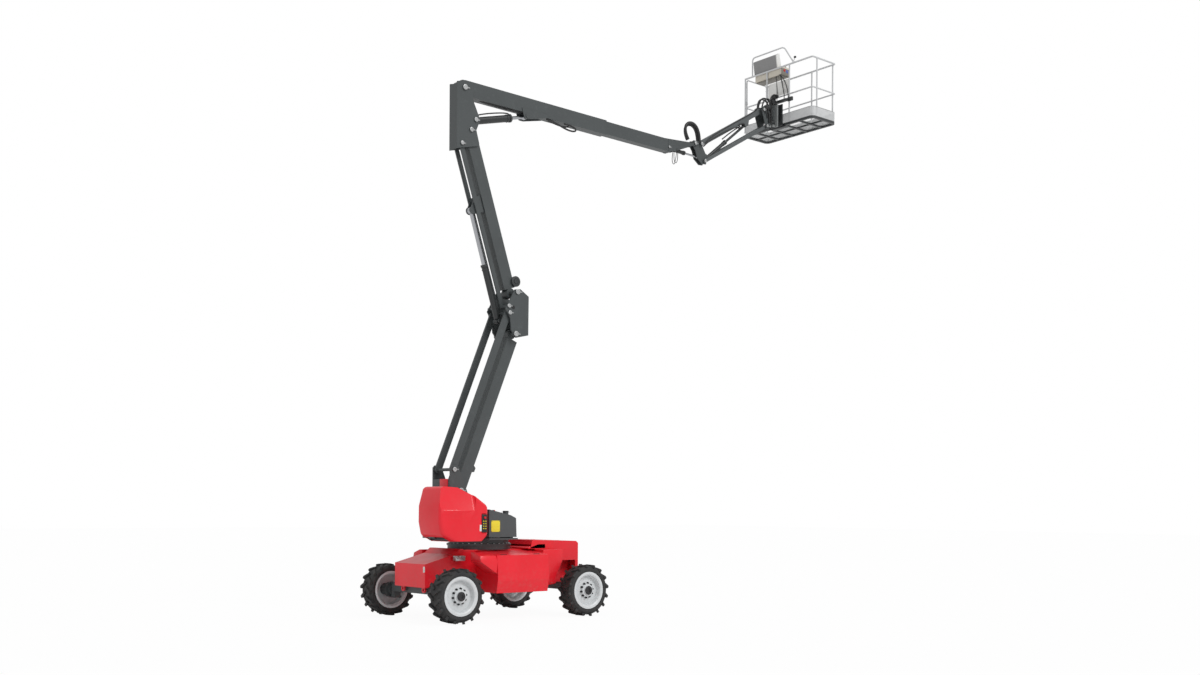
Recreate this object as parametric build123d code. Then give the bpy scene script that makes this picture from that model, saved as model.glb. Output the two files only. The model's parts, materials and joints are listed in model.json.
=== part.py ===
from build123d import *
import os
from math import atan2, cos, degrees, hypot, radians, sin

# Articulating boom lift, four wheels, about 14 m of platform height.
# Millimetres. Sizes are measured from the ground under the slewing ring's centre.
# +X is the way the boom reaches, +Y is the left side seen along +X, +Z is up.

# Wheels and axles
TYRE_DIA = 845.0
TYRE_WIDTH = 290.0
RIM_DIA = 560.0
OVERALL_WIDTH = 2310.0
WHEELBASE = 2495.0
FRONT_AXLE_X = -1110.0
KINGPIN_Y = 770.0
BEAM_RISE = (-10.0, 110.0)
LUG_COUNT = 16
LUG_HEIGHT = 26.0
HUB_R = 125.0
HUB_FLANGE_R = 100.0
WHEEL_BORE_R = 62.0
DISC_BACK = 60.0
STEER_ARM = 190.0
STEER_ROD_R = 22.0

# Chassis
CHASSIS_HALF_WIDTH = 400.0
CHASSIS_PLATE = 20.0
DECK_Z = 1095.0
BELLY_Z = 500.0
COVER_WALL = 6.0
FRONT_COVER_X = -1310.0
FRONT_COVER_HALF = 440.0
REAR_COVER_X = 1600.0
REAR_COVER_HALF = 600.0
SIDE_BOX_X = (-330.0, 675.0)
SIDE_BOX_Y = 1000.0
SIDE_BOX_Z = (430.0, 1020.0)
SEAT_GAP = 0.3
TIE_DOWN_X = (-1250.0, 1515.0)
TIE_DOWN_Y = 300.0
TIE_DOWN_Z = 480.0
TIE_DOWN_R = 22.0
TIE_DOWN_PLATE = 25.0

# Slewing ring and turntable
RING_OUTER_R = 510.0
RING_INNER_R = 390.0
RING_HEIGHT = 60.0
RING_GAP = 0.5
TABLE_PLATE = 30.0
TRAY_Z = 1255.0
TRAY_PLATE = 25.0
HOOD_BOTTOM_Z = 1250.0
HOOD_Y = (-950.0, -330.0)
HOOD_WALL = 10.0
HOOD_BULGE = 30.0
STANCHION_PLATE = 25.0
TANK_X = (-250.0, 290.0)
TANK_Y = (-640.0, -300.0)
STANCHION_OUT_Y = 260.0

# Riser pivots in the XZ plane at rest
LOWER_PIVOT = (-536.0, 2032.0)
LOWER_LENGTH = 2800.0
LOWER_ANGLE = 67.8
LINK_OFFSET = (-125.0, 335.0)
ELBOW_RISE = (33.0, 693.0)
UPPER_LENGTH = 2671.0
UPPER_ANGLE = 108.06
UPPER_LINK_OFFSET = (-176.0, -248.0)
BOOM_PIVOT_RISE = (-128.0, 656.0)
LOWER_ARM_SIDES = (-150.0, 45.0)
LOWER_ARM_WIDTH = 300.0
UPPER_ARM_WIDTH = 160.0
UPPER_ARM_DEPTH = 214.0

# Boom, nose and jib
BOOM_DROOP = 0.75
BOOM_ABOVE = 127.0
BOOM_BELOW = 125.0
BOOM_WIDTH = 170.0
BOOM_WALL = 6.0
BOOM_END_X = 2615.0
FLY_GAP = 7.0
FLY_WALL = 5.0
FLY_START_X = 1600.0
FLY_END_X = 4190.0
NOSE_REACH = (5221.0, 180.0)
JIB_RISE = (155.0, 15.0)
JIB_LENGTH = 1960.0
JIB_ANGLE = 30.4
JIB_ARM_DEPTH = 100.0
JIB_LINK_OFFSET = (95.0, -305.0)
JIB_LINK_DEPTH = 64.0

# Platform
PLATFORM_X = (7176.0, 7902.0)
PLATFORM_HALF = 915.0
PLATFORM_FLOOR_Z = 9405.0
PLATFORM_HEIGHT = 1214.0
FLOOR_DEPTH = 92.0
FLOOR_RIM = 46.0
TOE_HEIGHT = 140.0
RAIL_DIA = 34.0
GATE_BAR_R = 14.0
ROTATOR_X = 7050.0
ROTATOR_HEIGHT = 300.0

# Pins and running gaps
PIN_R = 25.0
BIG_PIN_R = 35.0
HINGE_PIN_R = 8.0
HINGE_LUG = 12.0
HINGE_SIDE_GAP = 6.0
PIN_FIT = 0.05


def at(origin, angle, along, across=0.0):
    """Point in XZ, along a direction given in degrees, across it to the left."""
    c, s = cos(radians(angle)), sin(radians(angle))
    return (origin[0] + along * c - across * s, origin[1] + along * s + across * c)


def shift(point, offset):
    return (point[0] + offset[0], point[1] + offset[1])


REAR_AXLE_X = FRONT_AXLE_X + WHEELBASE
WHEEL_R = TYRE_DIA / 2
WHEEL_Y = (OVERALL_WIDTH - TYRE_WIDTH) / 2
RING_Z = DECK_Z + SEAT_GAP
TABLE_Z = RING_Z + RING_HEIGHT + RING_GAP
TRAY_TOP_Z = TRAY_Z + TRAY_PLATE
LOWER_TOP = at(LOWER_PIVOT, LOWER_ANGLE, LOWER_LENGTH)
LINK_PIVOT = shift(LOWER_PIVOT, LINK_OFFSET)
LINK_TOP = shift(LOWER_TOP, LINK_OFFSET)
UPPER_PIVOT = shift(LOWER_TOP, ELBOW_RISE)
UPPER_TOP = at(UPPER_PIVOT, UPPER_ANGLE, UPPER_LENGTH)
UPPER_LINK_PIVOT = shift(UPPER_PIVOT, UPPER_LINK_OFFSET)
UPPER_LINK_TOP = shift(UPPER_TOP, UPPER_LINK_OFFSET)
BOOM_PIVOT = shift(UPPER_TOP, BOOM_PIVOT_RISE)
BOOM_TOP_Z = BOOM_PIVOT[1] + BOOM_ABOVE
BOOM_BOTTOM_Z = BOOM_PIVOT[1] - BOOM_BELOW
NOSE_PIVOT = at(BOOM_PIVOT, -BOOM_DROOP, *NOSE_REACH)
JIB_PIVOT = shift(NOSE_PIVOT, JIB_RISE)
JIB_TOP = at(JIB_PIVOT, JIB_ANGLE, JIB_LENGTH)
JIB_LINK_PIVOT = shift(JIB_PIVOT, JIB_LINK_OFFSET)
JIB_LINK_TOP = shift(JIB_TOP, JIB_LINK_OFFSET)
ROTATOR_Z = JIB_TOP[1] + 30

# Cylinder pins at rest
LOWER_CYL_BASE = (-655.0, 1345.0)
LOWER_CYL_EYE = at(LOWER_PIVOT, LOWER_ANGLE, 470.0, LOWER_ARM_SIDES[0] - 60.0)
UPPER_CYL_BASE = shift(LOWER_TOP, (-176.0, 220.0))
UPPER_CYL_EYE = at(UPPER_PIVOT, UPPER_ANGLE, 1435.0, 322.0)
BOOM_CYL_BASE = shift(BOOM_PIVOT, (217.0, -479.0))
BOOM_CYL_EYE = at(BOOM_PIVOT, -BOOM_DROOP, 1277.0, -BOOM_BELOW - 52.0)
LEVEL_CYL_BASE = at(BOOM_PIVOT, -BOOM_DROOP, 4551.0, -28.0)
LEVEL_CYL_EYE = shift(NOSE_PIVOT, (118.0, -225.0))
JIB_CYL_BASE = JIB_LINK_PIVOT
JIB_CYL_EYE = at(JIB_PIVOT, JIB_ANGLE, 1400.0, -100.0)


def profile(points, y0, y1):
    """Solid between two Y planes from an outline in XZ."""
    wire = Polyline(*[(x, y0, z) for x, z in points], close=True)
    return extrude(make_face(wire), amount=y1 - y0, dir=(0, 1, 0))


def block(x0, x1, y0, y1, z0, z1):
    return Pos((x0 + x1) / 2, (y0 + y1) / 2, (z0 + z1) / 2) * Box(x1 - x0, y1 - y0, z1 - z0)


def span(side, near, far):
    """Y range between two distances from the centre plane, on one side."""
    return (side * near, side * far) if side > 0 else (side * far, side * near)


def pin(point, radius, y0, y1):
    """Round bar along Y through a point in XZ."""
    return Pos(point[0], (y0 + y1) / 2, point[1]) * Rot(90, 0, 0) * Cylinder(radius, y1 - y0)


def along(start, end):
    """Frame at start whose local +X runs to end in the XZ plane."""
    angle = degrees(atan2(end[1] - start[1], end[0] - start[0]))
    return Pos(start[0], 0, start[1]) * Rot(0, -angle, 0)


def distance(start, end):
    return hypot(end[0] - start[0], end[1] - start[1])


def box_arm(start, end, width, sides, wall, boss_r):
    """Hollow box beam, its faces at two distances from the pins' line, with round bosses."""
    length = distance(start, end)
    clear = boss_r * 0.9
    low, high = sides
    frame = along(start, end)
    outer = Pos(length / 2, 0, (low + high) / 2) * Box(length - 2 * clear, width, high - low)
    inner = Pos(length / 2, 0, (low + high) / 2) * Box(
        length - 2 * clear - 2 * wall, width - 2 * wall, high - low - 2 * wall)
    arm = frame * (outer - inner)
    for point in (start, end):
        arm += pin(point, boss_r, -width / 2, width / 2)
    return arm


def bar(start, end, y0, y1, depth):
    """Flat link with rounded ends."""
    length = distance(start, end)
    solid = along(start, end) * Pos(length / 2, (y0 + y1) / 2, 0) * Box(length, y1 - y0, depth)
    return solid + pin(start, depth / 2, y0, y1) + pin(end, depth / 2, y0, y1)


def boomed(solid):
    """Turns a solid drawn level with the boom's pivot down to the boom's slope."""
    x, z = BOOM_PIVOT
    return Pos(x, 0, z) * Rot(0, BOOM_DROOP, 0) * Pos(-x, 0, -z) * solid


def bore(solid, point, radius):
    return solid - pin(point, radius + PIN_FIT, -2000, 2000)


def cylinder_pair(base, eye, radius, rod_r, barrel_length, rod_start, eye_width):
    """Barrel with its base eye, and rod with its eye, as two solids in line."""
    length = distance(base, eye)
    frame = along(base, eye)
    turned = frame * Rot(0, 90, 0)
    start = radius * 0.8
    barrel = turned * Pos(0, 0, start + (barrel_length - start) / 2) * Cylinder(radius, barrel_length - start)
    gland = turned * Pos(0, 0, barrel_length - 20) * Cylinder(radius + 6, 40)
    hollow = turned * Pos(0, 0, barrel_length / 2 + 40) * Cylinder(rod_r + 0.3, barrel_length - 60)
    barrel = barrel + gland + pin(base, max(radius * 0.9, PIN_R + 10), -eye_width / 2, eye_width / 2) - hollow
    rod_end = length - rod_r * 1.3
    rod = turned * Pos(0, 0, (rod_start + rod_end) / 2) * Cylinder(rod_r, rod_end - rod_start)
    rod += pin(eye, rod_r * 1.5, -eye_width / 2, eye_width / 2)
    return barrel, rod


def hinge_lugs(xs, outward, hinge, radius):
    """Plates across X with a round end about a hinge line, reaching out along Y."""
    y, z = hinge
    lugs = Part()
    for x in xs:
        lugs += Pos(x + HINGE_LUG / 2, y, z) * Rot(0, 90, 0) * Cylinder(radius, HINGE_LUG)
        lugs += block(x, x + HINGE_LUG, *sorted((y, y + outward)), z - radius, z)
    return lugs


def hinge_pin(x0, x1, hinge, radius):
    return Pos((x0 + x1) / 2, hinge[0], hinge[1]) * Rot(0, 90, 0) * Cylinder(radius, x1 - x0)


parts = {}


# Chassis frame: a welded plate box under the deck
def chassis_frame():
    outline = [
        (FRONT_COVER_X + 60, BELLY_Z + 60), (FRONT_COVER_X + 60, 800), (-760, 960),
        (-620, DECK_Z), (1540, DECK_Z), (1540, BELLY_Z + 60), (1250, BELLY_Z),
        (1000, BELLY_Z - 40), (-780, BELLY_Z - 40), (-960, BELLY_Z + 20),
    ]
    outer = profile(outline, -CHASSIS_HALF_WIDTH, CHASSIS_HALF_WIDTH)
    room = block(-740, 1500, -CHASSIS_HALF_WIDTH + CHASSIS_PLATE, CHASSIS_HALF_WIDTH - CHASSIS_PLATE,
                 BELLY_Z + 40, DECK_Z - 30)
    frame = outer - room
    for side in (-1, 1):
        for x in TIE_DOWN_X:
            y = side * TIE_DOWN_Y
            frame += block(x, x + TIE_DOWN_PLATE, y - 45, y + 45, TIE_DOWN_Z, BELLY_Z + 80)
            eye = Cylinder(45, TIE_DOWN_PLATE) - Cylinder(TIE_DOWN_R, TIE_DOWN_PLATE)
            seat = Pos(x + TIE_DOWN_PLATE / 2, y, TIE_DOWN_Z) * Rot(0, 90, 0)
            frame = frame - seat * Cylinder(44, TIE_DOWN_PLATE) + seat * eye
    return frame


parts["chassis_frame"] = chassis_frame()


def axle_seat(x):
    """Slot through the frame's underside that takes the axle beam."""
    return block(x - 90 - SEAT_GAP, x + 90 + SEAT_GAP, -600, 600, 0, WHEEL_R + BEAM_RISE[1] + SEAT_GAP)


for axle_x in (FRONT_AXLE_X, REAR_AXLE_X):
    parts["chassis_frame"] -= axle_seat(axle_x)


def wheel_seat(x, side, near):
    """Hub flange up to the wheel disc, and the spigot the wheel turns on."""
    face = WHEEL_Y + DISC_BACK - SEAT_GAP
    tip = WHEEL_Y + DISC_BACK + 48
    centre = (x, WHEEL_R)
    return pin(centre, HUB_FLANGE_R, *span(side, near, face)) + pin(
        centre, WHEEL_BORE_R - PIN_FIT, *span(side, near, tip))


# Axle beams with the fork ends and hub drives
def axle_beam(x, steered):
    reach = KINGPIN_Y - 90
    z0, z1 = WHEEL_R + BEAM_RISE[0], WHEEL_R + BEAM_RISE[1]
    beam = block(x - 90, x + 90, -reach, reach, z0, z1)
    beam -= block(x - 75, x + 75, -reach + 20, reach - 20, z0 + 15, z1 - 15)
    for side in (-1, 1):
        if steered:
            beam -= block(x + 24, x + 91, *span(side, reach - 110, reach + 1), z0 - 1, z1 + 1)
            beam += block(x + 24, x + 39, *span(side, reach - 120, reach), z0, z1)
            beam += block(x - 75, x + 90, *span(side, reach - 125, reach - 110), z0, z1)
            beam += block(x - 70, x + 38, *span(side, reach - 20, reach), WHEEL_R - 120, WHEEL_R + 120)
            for z in (WHEEL_R - 105, WHEEL_R + 105):
                beam += Pos(x, side * KINGPIN_Y, z) * Cylinder(62, 30)
                beam += block(x - 62, x + 62, *span(side, reach - 10, KINGPIN_Y), z - 15, z + 15)
            beam -= Pos(x, side * KINGPIN_Y, WHEEL_R) * Cylinder(PIN_R + PIN_FIT, 300)
        else:
            beam += Pos(x, side * (KINGPIN_Y + 30), WHEEL_R) * Rot(90, 0, 0) * Cylinder(HUB_R, 260)
            beam += wheel_seat(x, side, KINGPIN_Y + 150)
    return beam


parts["front_axle"] = axle_beam(FRONT_AXLE_X, True)
parts["rear_axle"] = axle_beam(REAR_AXLE_X, False)


# Steering knuckles carry the front hub drives
def knuckle(side):
    x = FRONT_AXLE_X
    body = Pos(x, side * KINGPIN_Y, WHEEL_R) * Cylinder(58, 179.4)
    body += Pos(x, side * KINGPIN_Y, WHEEL_R) * Cylinder(PIN_R, 250)
    body += Pos(x, side * (KINGPIN_Y + 60), WHEEL_R) * Rot(90, 0, 0) * Cylinder(80, 80)
    body += Pos(x, side * (KINGPIN_Y + 115), WHEEL_R) * Rot(90, 0, 0) * Cylinder(HUB_R, 90)
    body += wheel_seat(x, side, KINGPIN_Y + 150)
    for z in (WHEEL_R - 40, WHEEL_R + 28):
        body += block(x + 20, x + STEER_ARM + 22, *span(side, KINGPIN_Y - 45, KINGPIN_Y - 5), z, z + 12)
    return body


for side, name in ((1, "left"), (-1, "right")):
    parts["knuckle_" + name] = knuckle(side)


# Steering cylinder across the front axle, its rod reaching both knuckle arms
STEER_X = FRONT_AXLE_X + STEER_ARM
parts["steer_cylinder"] = Pos(STEER_X, 0, WHEEL_R) * Rot(90, 0, 0) * (
    Cylinder(45, 420) - Cylinder(STEER_ROD_R + 0.3, 440))
for y in (-150, 110):
    parts["steer_cylinder"] += block(FRONT_AXLE_X + 90 + SEAT_GAP, STEER_X - 38, y, y + 40,
                                     WHEEL_R - 30, WHEEL_R + 30)
parts["steer_rod"] = Pos(STEER_X, 0, WHEEL_R) * Rot(90, 0, 0) * Cylinder(STEER_ROD_R, 2 * (KINGPIN_Y - 25))


# Wheels: a dished rim and a tyre with slanted lugs
def rim():
    half = TYRE_WIDTH / 2
    r = RIM_DIA / 2
    section = Polyline(
        (WHEEL_BORE_R, DISC_BACK), (WHEEL_BORE_R, DISC_BACK + 50), (105, DISC_BACK + 50), (120, 70), (r - 55, 52), (r - 32, half - 20), (r - 10, half - 8),
        (r + 22, half - 8), (r + 22, half - 22), (r - 6, half - 26), (r - 20, 30), (r - 20, -half + 30),
        (r + 22, -half + 22), (r + 22, -half + 8), (r - 10, -half + 8), (r - 34, -half + 36),
        (r - 34, 20), (r - 60, 34), (125, DISC_BACK - 4), (HUB_FLANGE_R + 2, DISC_BACK), close=True)
    solid = revolve(make_face(Plane.XZ * section), Axis.Z)
    cap = Pos(0, 0, 118) * Cylinder(75, 26)
    solid += cap - Pos(0, 0, 100) * Cylinder(WHEEL_BORE_R, 24)
    return solid


def tyre():
    half = TYRE_WIDTH / 2
    carcass_r = WHEEL_R - LUG_HEIGHT
    bead = RIM_DIA / 2 + 22 + SEAT_GAP
    section = Polyline(
        (bead, half - 24), (bead + 8, half - 4), (bead + 40, half), (carcass_r - 34, half - 4),
        (carcass_r, half - 36), (carcass_r, -half + 36), (carcass_r - 34, -half + 4),
        (bead + 40, -half), (bead + 8, -half + 4), (bead, -half + 24), close=True)
    solid = revolve(make_face(Plane.XZ * section), Axis.Z)
    pitch = 360 / LUG_COUNT
    lug_shape = Box(60, 42, half + 10)
    lugs = []
    for i in range(LUG_COUNT):
        for row in (-1, 1):
            turn = i * pitch + (row + 1) * pitch / 4
            tilt = Rot(row * 32, 0, 0)
            lugs.append(Rot(0, 0, turn) * Pos(carcass_r, 0, row * (half - 66)) * tilt * lug_shape)
    envelope = Cylinder(WHEEL_R, TYRE_WIDTH) - Cylinder(carcass_r - 20, TYRE_WIDTH)
    return solid + [lug & envelope for lug in lugs]


one_rim, one_tyre = rim(), tyre()
for end, axle_x in (("front", FRONT_AXLE_X), ("rear", REAR_AXLE_X)):
    for side, name in ((1, "left"), (-1, "right")):
        place = Pos(axle_x, side * WHEEL_Y, WHEEL_R) * Rot(-90 * side, 0, 0)
        parts[f"rim_{end}_{name}"] = place * one_rim
        parts[f"tyre_{end}_{name}"] = place * one_tyre


# Chassis covers
def front_cover():
    h = FRONT_COVER_HALF
    x = FRONT_COVER_X
    outline = [(x, 520), (x, 885), (-760, 1030), (-660, 1112), (-600, 1112), (-600, 720), (-1090, 720),
               (-1200, 560), (-1250, 520)]
    outer = profile(outline, -h, h)
    room = profile([(x + COVER_WALL, 500), (x + COVER_WALL, 879), (-762, 1023), (-662, 1106), (-590, 1106),
                    (-590, 500)], -h + COVER_WALL, h - COVER_WALL)
    cover = outer - room
    web = [(-1150, 833.2), (-800, 947.6), (-800, 1015), (-1150, 922)]
    for side in (-1, 1):
        cover += profile(web, *span(side, 250, 265))
    return cover


def rear_cover():
    h = REAR_COVER_HALF
    x = REAR_COVER_X
    outline = [(600, 1106), (640, 1243), (x - 40, 1216), (x, 1180), (x, 620), (x - 60, 620), (x - 60, 900),
               (690, 900), (690, 1100)]
    outer = profile(outline, -h, h)
    room = profile([(590, 1100), (647, 1237), (x - 43, 1210), (x - COVER_WALL, 1176), (x - COVER_WALL, 600),
                    (590, 600)], -h + COVER_WALL, h - COVER_WALL)
    cover = outer - room
    for side in (-1, 1):
        cover += block(900, 1400, *span(side, 330, 345), DECK_Z + SEAT_GAP, 1224)
    return cover


def side_box(side):
    x0, x1 = SIDE_BOX_X
    z0, z1 = SIDE_BOX_Z
    y0 = CHASSIS_HALF_WIDTH + SEAT_GAP
    section = [(y0, z0), (SIDE_BOX_Y - 40, z0), (SIDE_BOX_Y, 627), (SIDE_BOX_Y, 769), (SIDE_BOX_Y - 30, z1),
               (SIDE_BOX_Y - 120, z1 + 20), (y0, DECK_Z - 15)]
    wire = Polyline(*[(x0, side * y, z) for y, z in section], close=True)
    outer = extrude(make_face(wire), amount=x1 - x0, dir=(1, 0, 0))
    return outer


parts["front_cover"] = front_cover()
parts["rear_cover"] = rear_cover()
for side, name in ((1, "left"), (-1, "right")):
    solid = side_box(side)
    parts["side_box_" + name] = offset(solid, amount=-10, kind=Kind.INTERSECTION)
    parts["side_box_" + name] = solid - parts["side_box_" + name]


# Slewing ring on the deck
parts["slew_ring"] = Pos(0, 0, RING_Z + RING_HEIGHT / 2) * (
    Cylinder(RING_OUTER_R, RING_HEIGHT) - Cylinder(RING_INNER_R, RING_HEIGHT))


# Turntable base with the two stanchion plates
def turntable_frame():
    base = Pos(0, 0, TABLE_Z + TABLE_PLATE / 2) * Cylinder(RING_OUTER_R + 15, TABLE_PLATE)
    base += Pos(0, 0, (TABLE_Z + TRAY_Z) / 2) * Cylinder(RING_OUTER_R - 30, TRAY_Z - TABLE_Z)
    base += Pos(0, 0, TRAY_Z + TRAY_PLATE / 2) * Cylinder(RING_OUTER_R + 5, TRAY_PLATE)
    for x0, x1, y0, y1 in ((-760, 0, -300, 300), (-1040, -750, -300, -180), (-1150, -630, -900, -300),
                           (-260, 300, -660, -300), (-185, 665, 300, 955)):
        base += block(x0, x1, y0, y1, TRAY_Z, TRAY_TOP_Z)
    outline = [(-735, TRAY_TOP_Z), (-735, 2405), (-700, 2440), (-610, 2440), (-570, 2400), (-400, 1990),
               (-60, TRAY_TOP_Z)]
    for side in (-1, 1):
        base += profile(outline, *span(side, STANCHION_OUT_Y - STANCHION_PLATE, STANCHION_OUT_Y))
    reach = STANCHION_OUT_Y - STANCHION_PLATE + 1
    base += profile([(-735, 1900), (-735, 2215), (-722, 2215), (-722, 1900)], -reach, reach)
    for point, r in ((LOWER_PIVOT, BIG_PIN_R), (LINK_PIVOT, PIN_R), (LOWER_CYL_BASE, PIN_R)):
        base += pin(point, r, -STANCHION_OUT_Y - 8, STANCHION_OUT_Y + 8)
    return base


FLOOR_Z = TRAY_TOP_Z + SEAT_GAP
VALVE_HINGE = (312.0, 1712.0)
VALVE_LUG_X = (-80.0, 520.0)
parts["turntable_frame"] = turntable_frame()
for x in VALVE_LUG_X:
    post = block(x - HINGE_SIDE_GAP - 20, x - HINGE_SIDE_GAP, VALVE_HINGE[0] - 14, VALVE_HINGE[0] + 12,
                 TRAY_TOP_Z, VALVE_HINGE[1] + 14)
    parts["turntable_frame"] += post + hinge_pin(x - 20, x + HINGE_LUG + 4, VALVE_HINGE, HINGE_PIN_R)


# Counterweight, which also carries the engine hood's hinge pin
HOOD_HINGE = (HOOD_Y[1] + 18, 2075.0)
HOOD_LUG_X = (-1020.0, -840.0)
plan = Polyline((-1040, -290), (-1040, 60), (-880, 225), (-770, 225), (-770, -290), close=True)
parts["counterweight"] = Pos(0, 0, FLOOR_Z) * extrude(make_face(plan), amount=2050 - FLOOR_Z)
for x in HOOD_LUG_X:
    parts["counterweight"] += block(x - HINGE_SIDE_GAP - 14, x - HINGE_SIDE_GAP, HOOD_HINGE[0] - 11, -285,
                                    2035, HOOD_HINGE[1] + 11)
parts["counterweight"] += hinge_pin(HOOD_LUG_X[0] - 12, HOOD_LUG_X[1] + HINGE_LUG + 4, HOOD_HINGE, HINGE_PIN_R)
parts["power_pack"] = block(-1060, -680, -860, -380, FLOOR_Z, 1800)


# Fuel tank: a moulded shell with a filler neck, on its feet
def fuel_tank():
    z0 = FLOOR_Z + 15
    y0, y1 = TANK_Y
    wall = 8
    x0, x1 = TANK_X
    shell = profile([(x0, z0), (x0, 1737), (x0 + 420, 1648), (x1 - 12, 1600), (x1, z0)], y0, y1)
    shell -= profile([(x0 + wall, z0 + wall), (x0 + wall, 1727), (x0 + 418, 1639), (x1 - 20, 1594),
                      (x1 - wall, z0 + wall)], y0 + wall, y1 - wall)
    shell += Pos(x0 + 400, y0 + 110, 1672) * Cylinder(45, 60)
    for x in (x0 + 50, x1 - 110):
        shell += block(x, x + 60, y0 + 30, y1 - 20, FLOOR_Z, z0 + 1)
    return shell


parts["fuel_tank"] = fuel_tank()


# Engine hood on the near side, open underneath and inwards, hinged along its inner top edge
def engine_hood():
    z0 = HOOD_BOTTOM_Z
    outline = [(-1170, z0), (-1300, 1290), (-1385, 1490), (-1390, 1740), (-1292, 2078), (-1240, 2088),
               (-1000, 2072), (-720, 1940), (-495, 1795), (-495, 1321), (-610, z0)]
    bulge = HOOD_Y[0] + HOOD_BULGE
    outer = profile(outline, bulge, HOOD_Y[1])
    wire = Polyline(*[(x, bulge, z) for x, z in outline], close=True)
    outer += extrude(make_face(wire), amount=HOOD_BULGE, dir=(0, -1, 0), taper=45)
    room = profile([(-1160, z0 - 20), (-1286, 1300), (-1372, 1496), (-1377, 1736), (-1282, 2066), (-1236, 2075),
                    (-1003, 2059), (-726, 1929), (-507, 1788), (-507, 1331), (-614, 1266), (-618, z0 - 20)],
                   bulge, HOOD_Y[1] + 1)
    hood = outer - room
    for x in HOOD_LUG_X:
        hood += hinge_lugs((x,), -60, HOOD_HINGE, 15)
        hood += block(x, x + HINGE_LUG, HOOD_Y[1] - 50, HOOD_Y[1] - 20, 1975, HOOD_HINGE[1] - 10)
    return hood - hinge_pin(-1100, -700, HOOD_HINGE, HINGE_PIN_R + PIN_FIT)


parts["engine_hood"] = engine_hood()
parts["ground_controls"] = block(-610, -530, HOOD_Y[0] - 16, HOOD_Y[0] - SEAT_GAP, 1390, 1650)


def valve_cover():
    z0 = FLOOR_Z
    outer = profile([(-180, z0), (-200, 1600), (-120, 1700), (560, 1700), (660, 1600), (660, z0)], 330, 950)
    room = profile([(-170, z0 - 20), (-189, 1596), (-115, 1690), (555, 1690), (650, 1596), (650, z0 - 20)], 329, 940)
    cover = outer - room + hinge_lugs(VALVE_LUG_X, 60, VALVE_HINGE, 15)
    return cover - hinge_pin(-200, 660, VALVE_HINGE, HINGE_PIN_R + PIN_FIT)


parts["valve_cover"] = valve_cover()


# Lower riser
parts["lower_arm"] = box_arm(LOWER_PIVOT, LOWER_TOP, LOWER_ARM_WIDTH, LOWER_ARM_SIDES, 6, 78)
parts["lower_arm"] = bore(parts["lower_arm"], LOWER_PIVOT, BIG_PIN_R)
parts["lower_arm"] = bore(parts["lower_arm"], LOWER_TOP, BIG_PIN_R)
for y0 in (-60, 36):
    face = LOWER_ARM_SIDES[0] + 2
    lug_foot = [at(LOWER_PIVOT, LOWER_ANGLE, a, b) for a, b in
                ((380, face), (560, face), (505, face - 100), (435, face - 100))]
    parts["lower_arm"] += profile(lug_foot, y0, y0 + 24)
parts["lower_links"] = Compound(children=[
    bore(bar(LINK_PIVOT, LINK_TOP, y0, y0 + 35, 116), LINK_PIVOT, PIN_R) for y0 in (-229, 194)])
parts["lower_links"] = bore(parts["lower_links"], LINK_TOP, PIN_R)
parts["lower_cyl_barrel"], parts["lower_cyl_rod"] = cylinder_pair(
    LOWER_CYL_BASE, LOWER_CYL_EYE, 55, 32, 600, 577, 60)
parts["lower_cyl_barrel"] = bore(parts["lower_cyl_barrel"], LOWER_CYL_BASE, PIN_R)


# Elbow link between the risers
def elbow_link():
    x0, z0 = LOWER_TOP
    x1, z1 = UPPER_PIVOT
    outline = [(x0 + 8, z0 - 65), (x0 + 257, z0 - 5), (x1 + 230, z1 - 56), (x1 + 57, z1 + 50), (x1 - 53, z1 + 34),
               shift(UPPER_LINK_PIVOT, (-62, -46)), shift(LINK_TOP, (10, -92)), (x0 - 92, z0 + 58)]
    link = Part()
    for y0 in (-270, 250):
        link += profile(outline, y0, y0 + 20)
    link += block(x0 + 236, x0 + 248, -251, 251, z0 + 40, z1 - 90)
    for point, r in ((LOWER_TOP, BIG_PIN_R), (LINK_TOP, PIN_R), (UPPER_PIVOT, BIG_PIN_R)):
        link += pin(point, r, -278, 278)
    for side in (-1, 1):
        link += pin(UPPER_LINK_PIVOT, PIN_R, *span(side, 56, 278))
    # Cross tube with two lugs that hold the upper cylinder's base pin
    tube = (x0 + 60, z0 + 330)
    link += pin(tube, 38, -251, 251)
    for side in (-1, 1):
        link += bar(tube, UPPER_CYL_BASE, *span(side, 58, 76), 70)
    return link + pin(UPPER_CYL_BASE, PIN_R, -76, 76)


parts["elbow_link"] = elbow_link()


# Upper riser
parts["upper_arm"] = box_arm(UPPER_PIVOT, UPPER_TOP, UPPER_ARM_WIDTH,
                             (-UPPER_ARM_DEPTH / 2, UPPER_ARM_DEPTH / 2), 6, 85)
parts["upper_arm"] = bore(parts["upper_arm"], UPPER_PIVOT, BIG_PIN_R)
parts["upper_arm"] = bore(parts["upper_arm"], UPPER_TOP, PIN_R)
for y0 in (-58, 42):
    along_eye, foot = 1435, UPPER_ARM_DEPTH / 2 - 4
    lug_foot = [at(UPPER_PIVOT, UPPER_ANGLE, a, b) for a, b in
                ((along_eye - 70, foot), (along_eye + 210, foot), (along_eye + 190, foot + 130),
                 (along_eye + 58, foot + 232), (along_eye - 52, foot + 200))]
    parts["upper_arm"] += profile(lug_foot, y0, y0 + 16) + pin(UPPER_CYL_EYE, 62, y0, y0 + 16)
parts["upper_links"] = Compound(children=[
    bore(bar(UPPER_LINK_PIVOT, UPPER_LINK_TOP, y0, y0 + 24, 74), UPPER_LINK_PIVOT, PIN_R) for y0 in (-88, 64)])
parts["upper_links"] = bore(parts["upper_links"], UPPER_LINK_TOP, PIN_R)
parts["upper_cyl_barrel"], parts["upper_cyl_rod"] = cylinder_pair(
    UPPER_CYL_BASE, UPPER_CYL_EYE, 50, 36, 930, 540, 72)
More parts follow.
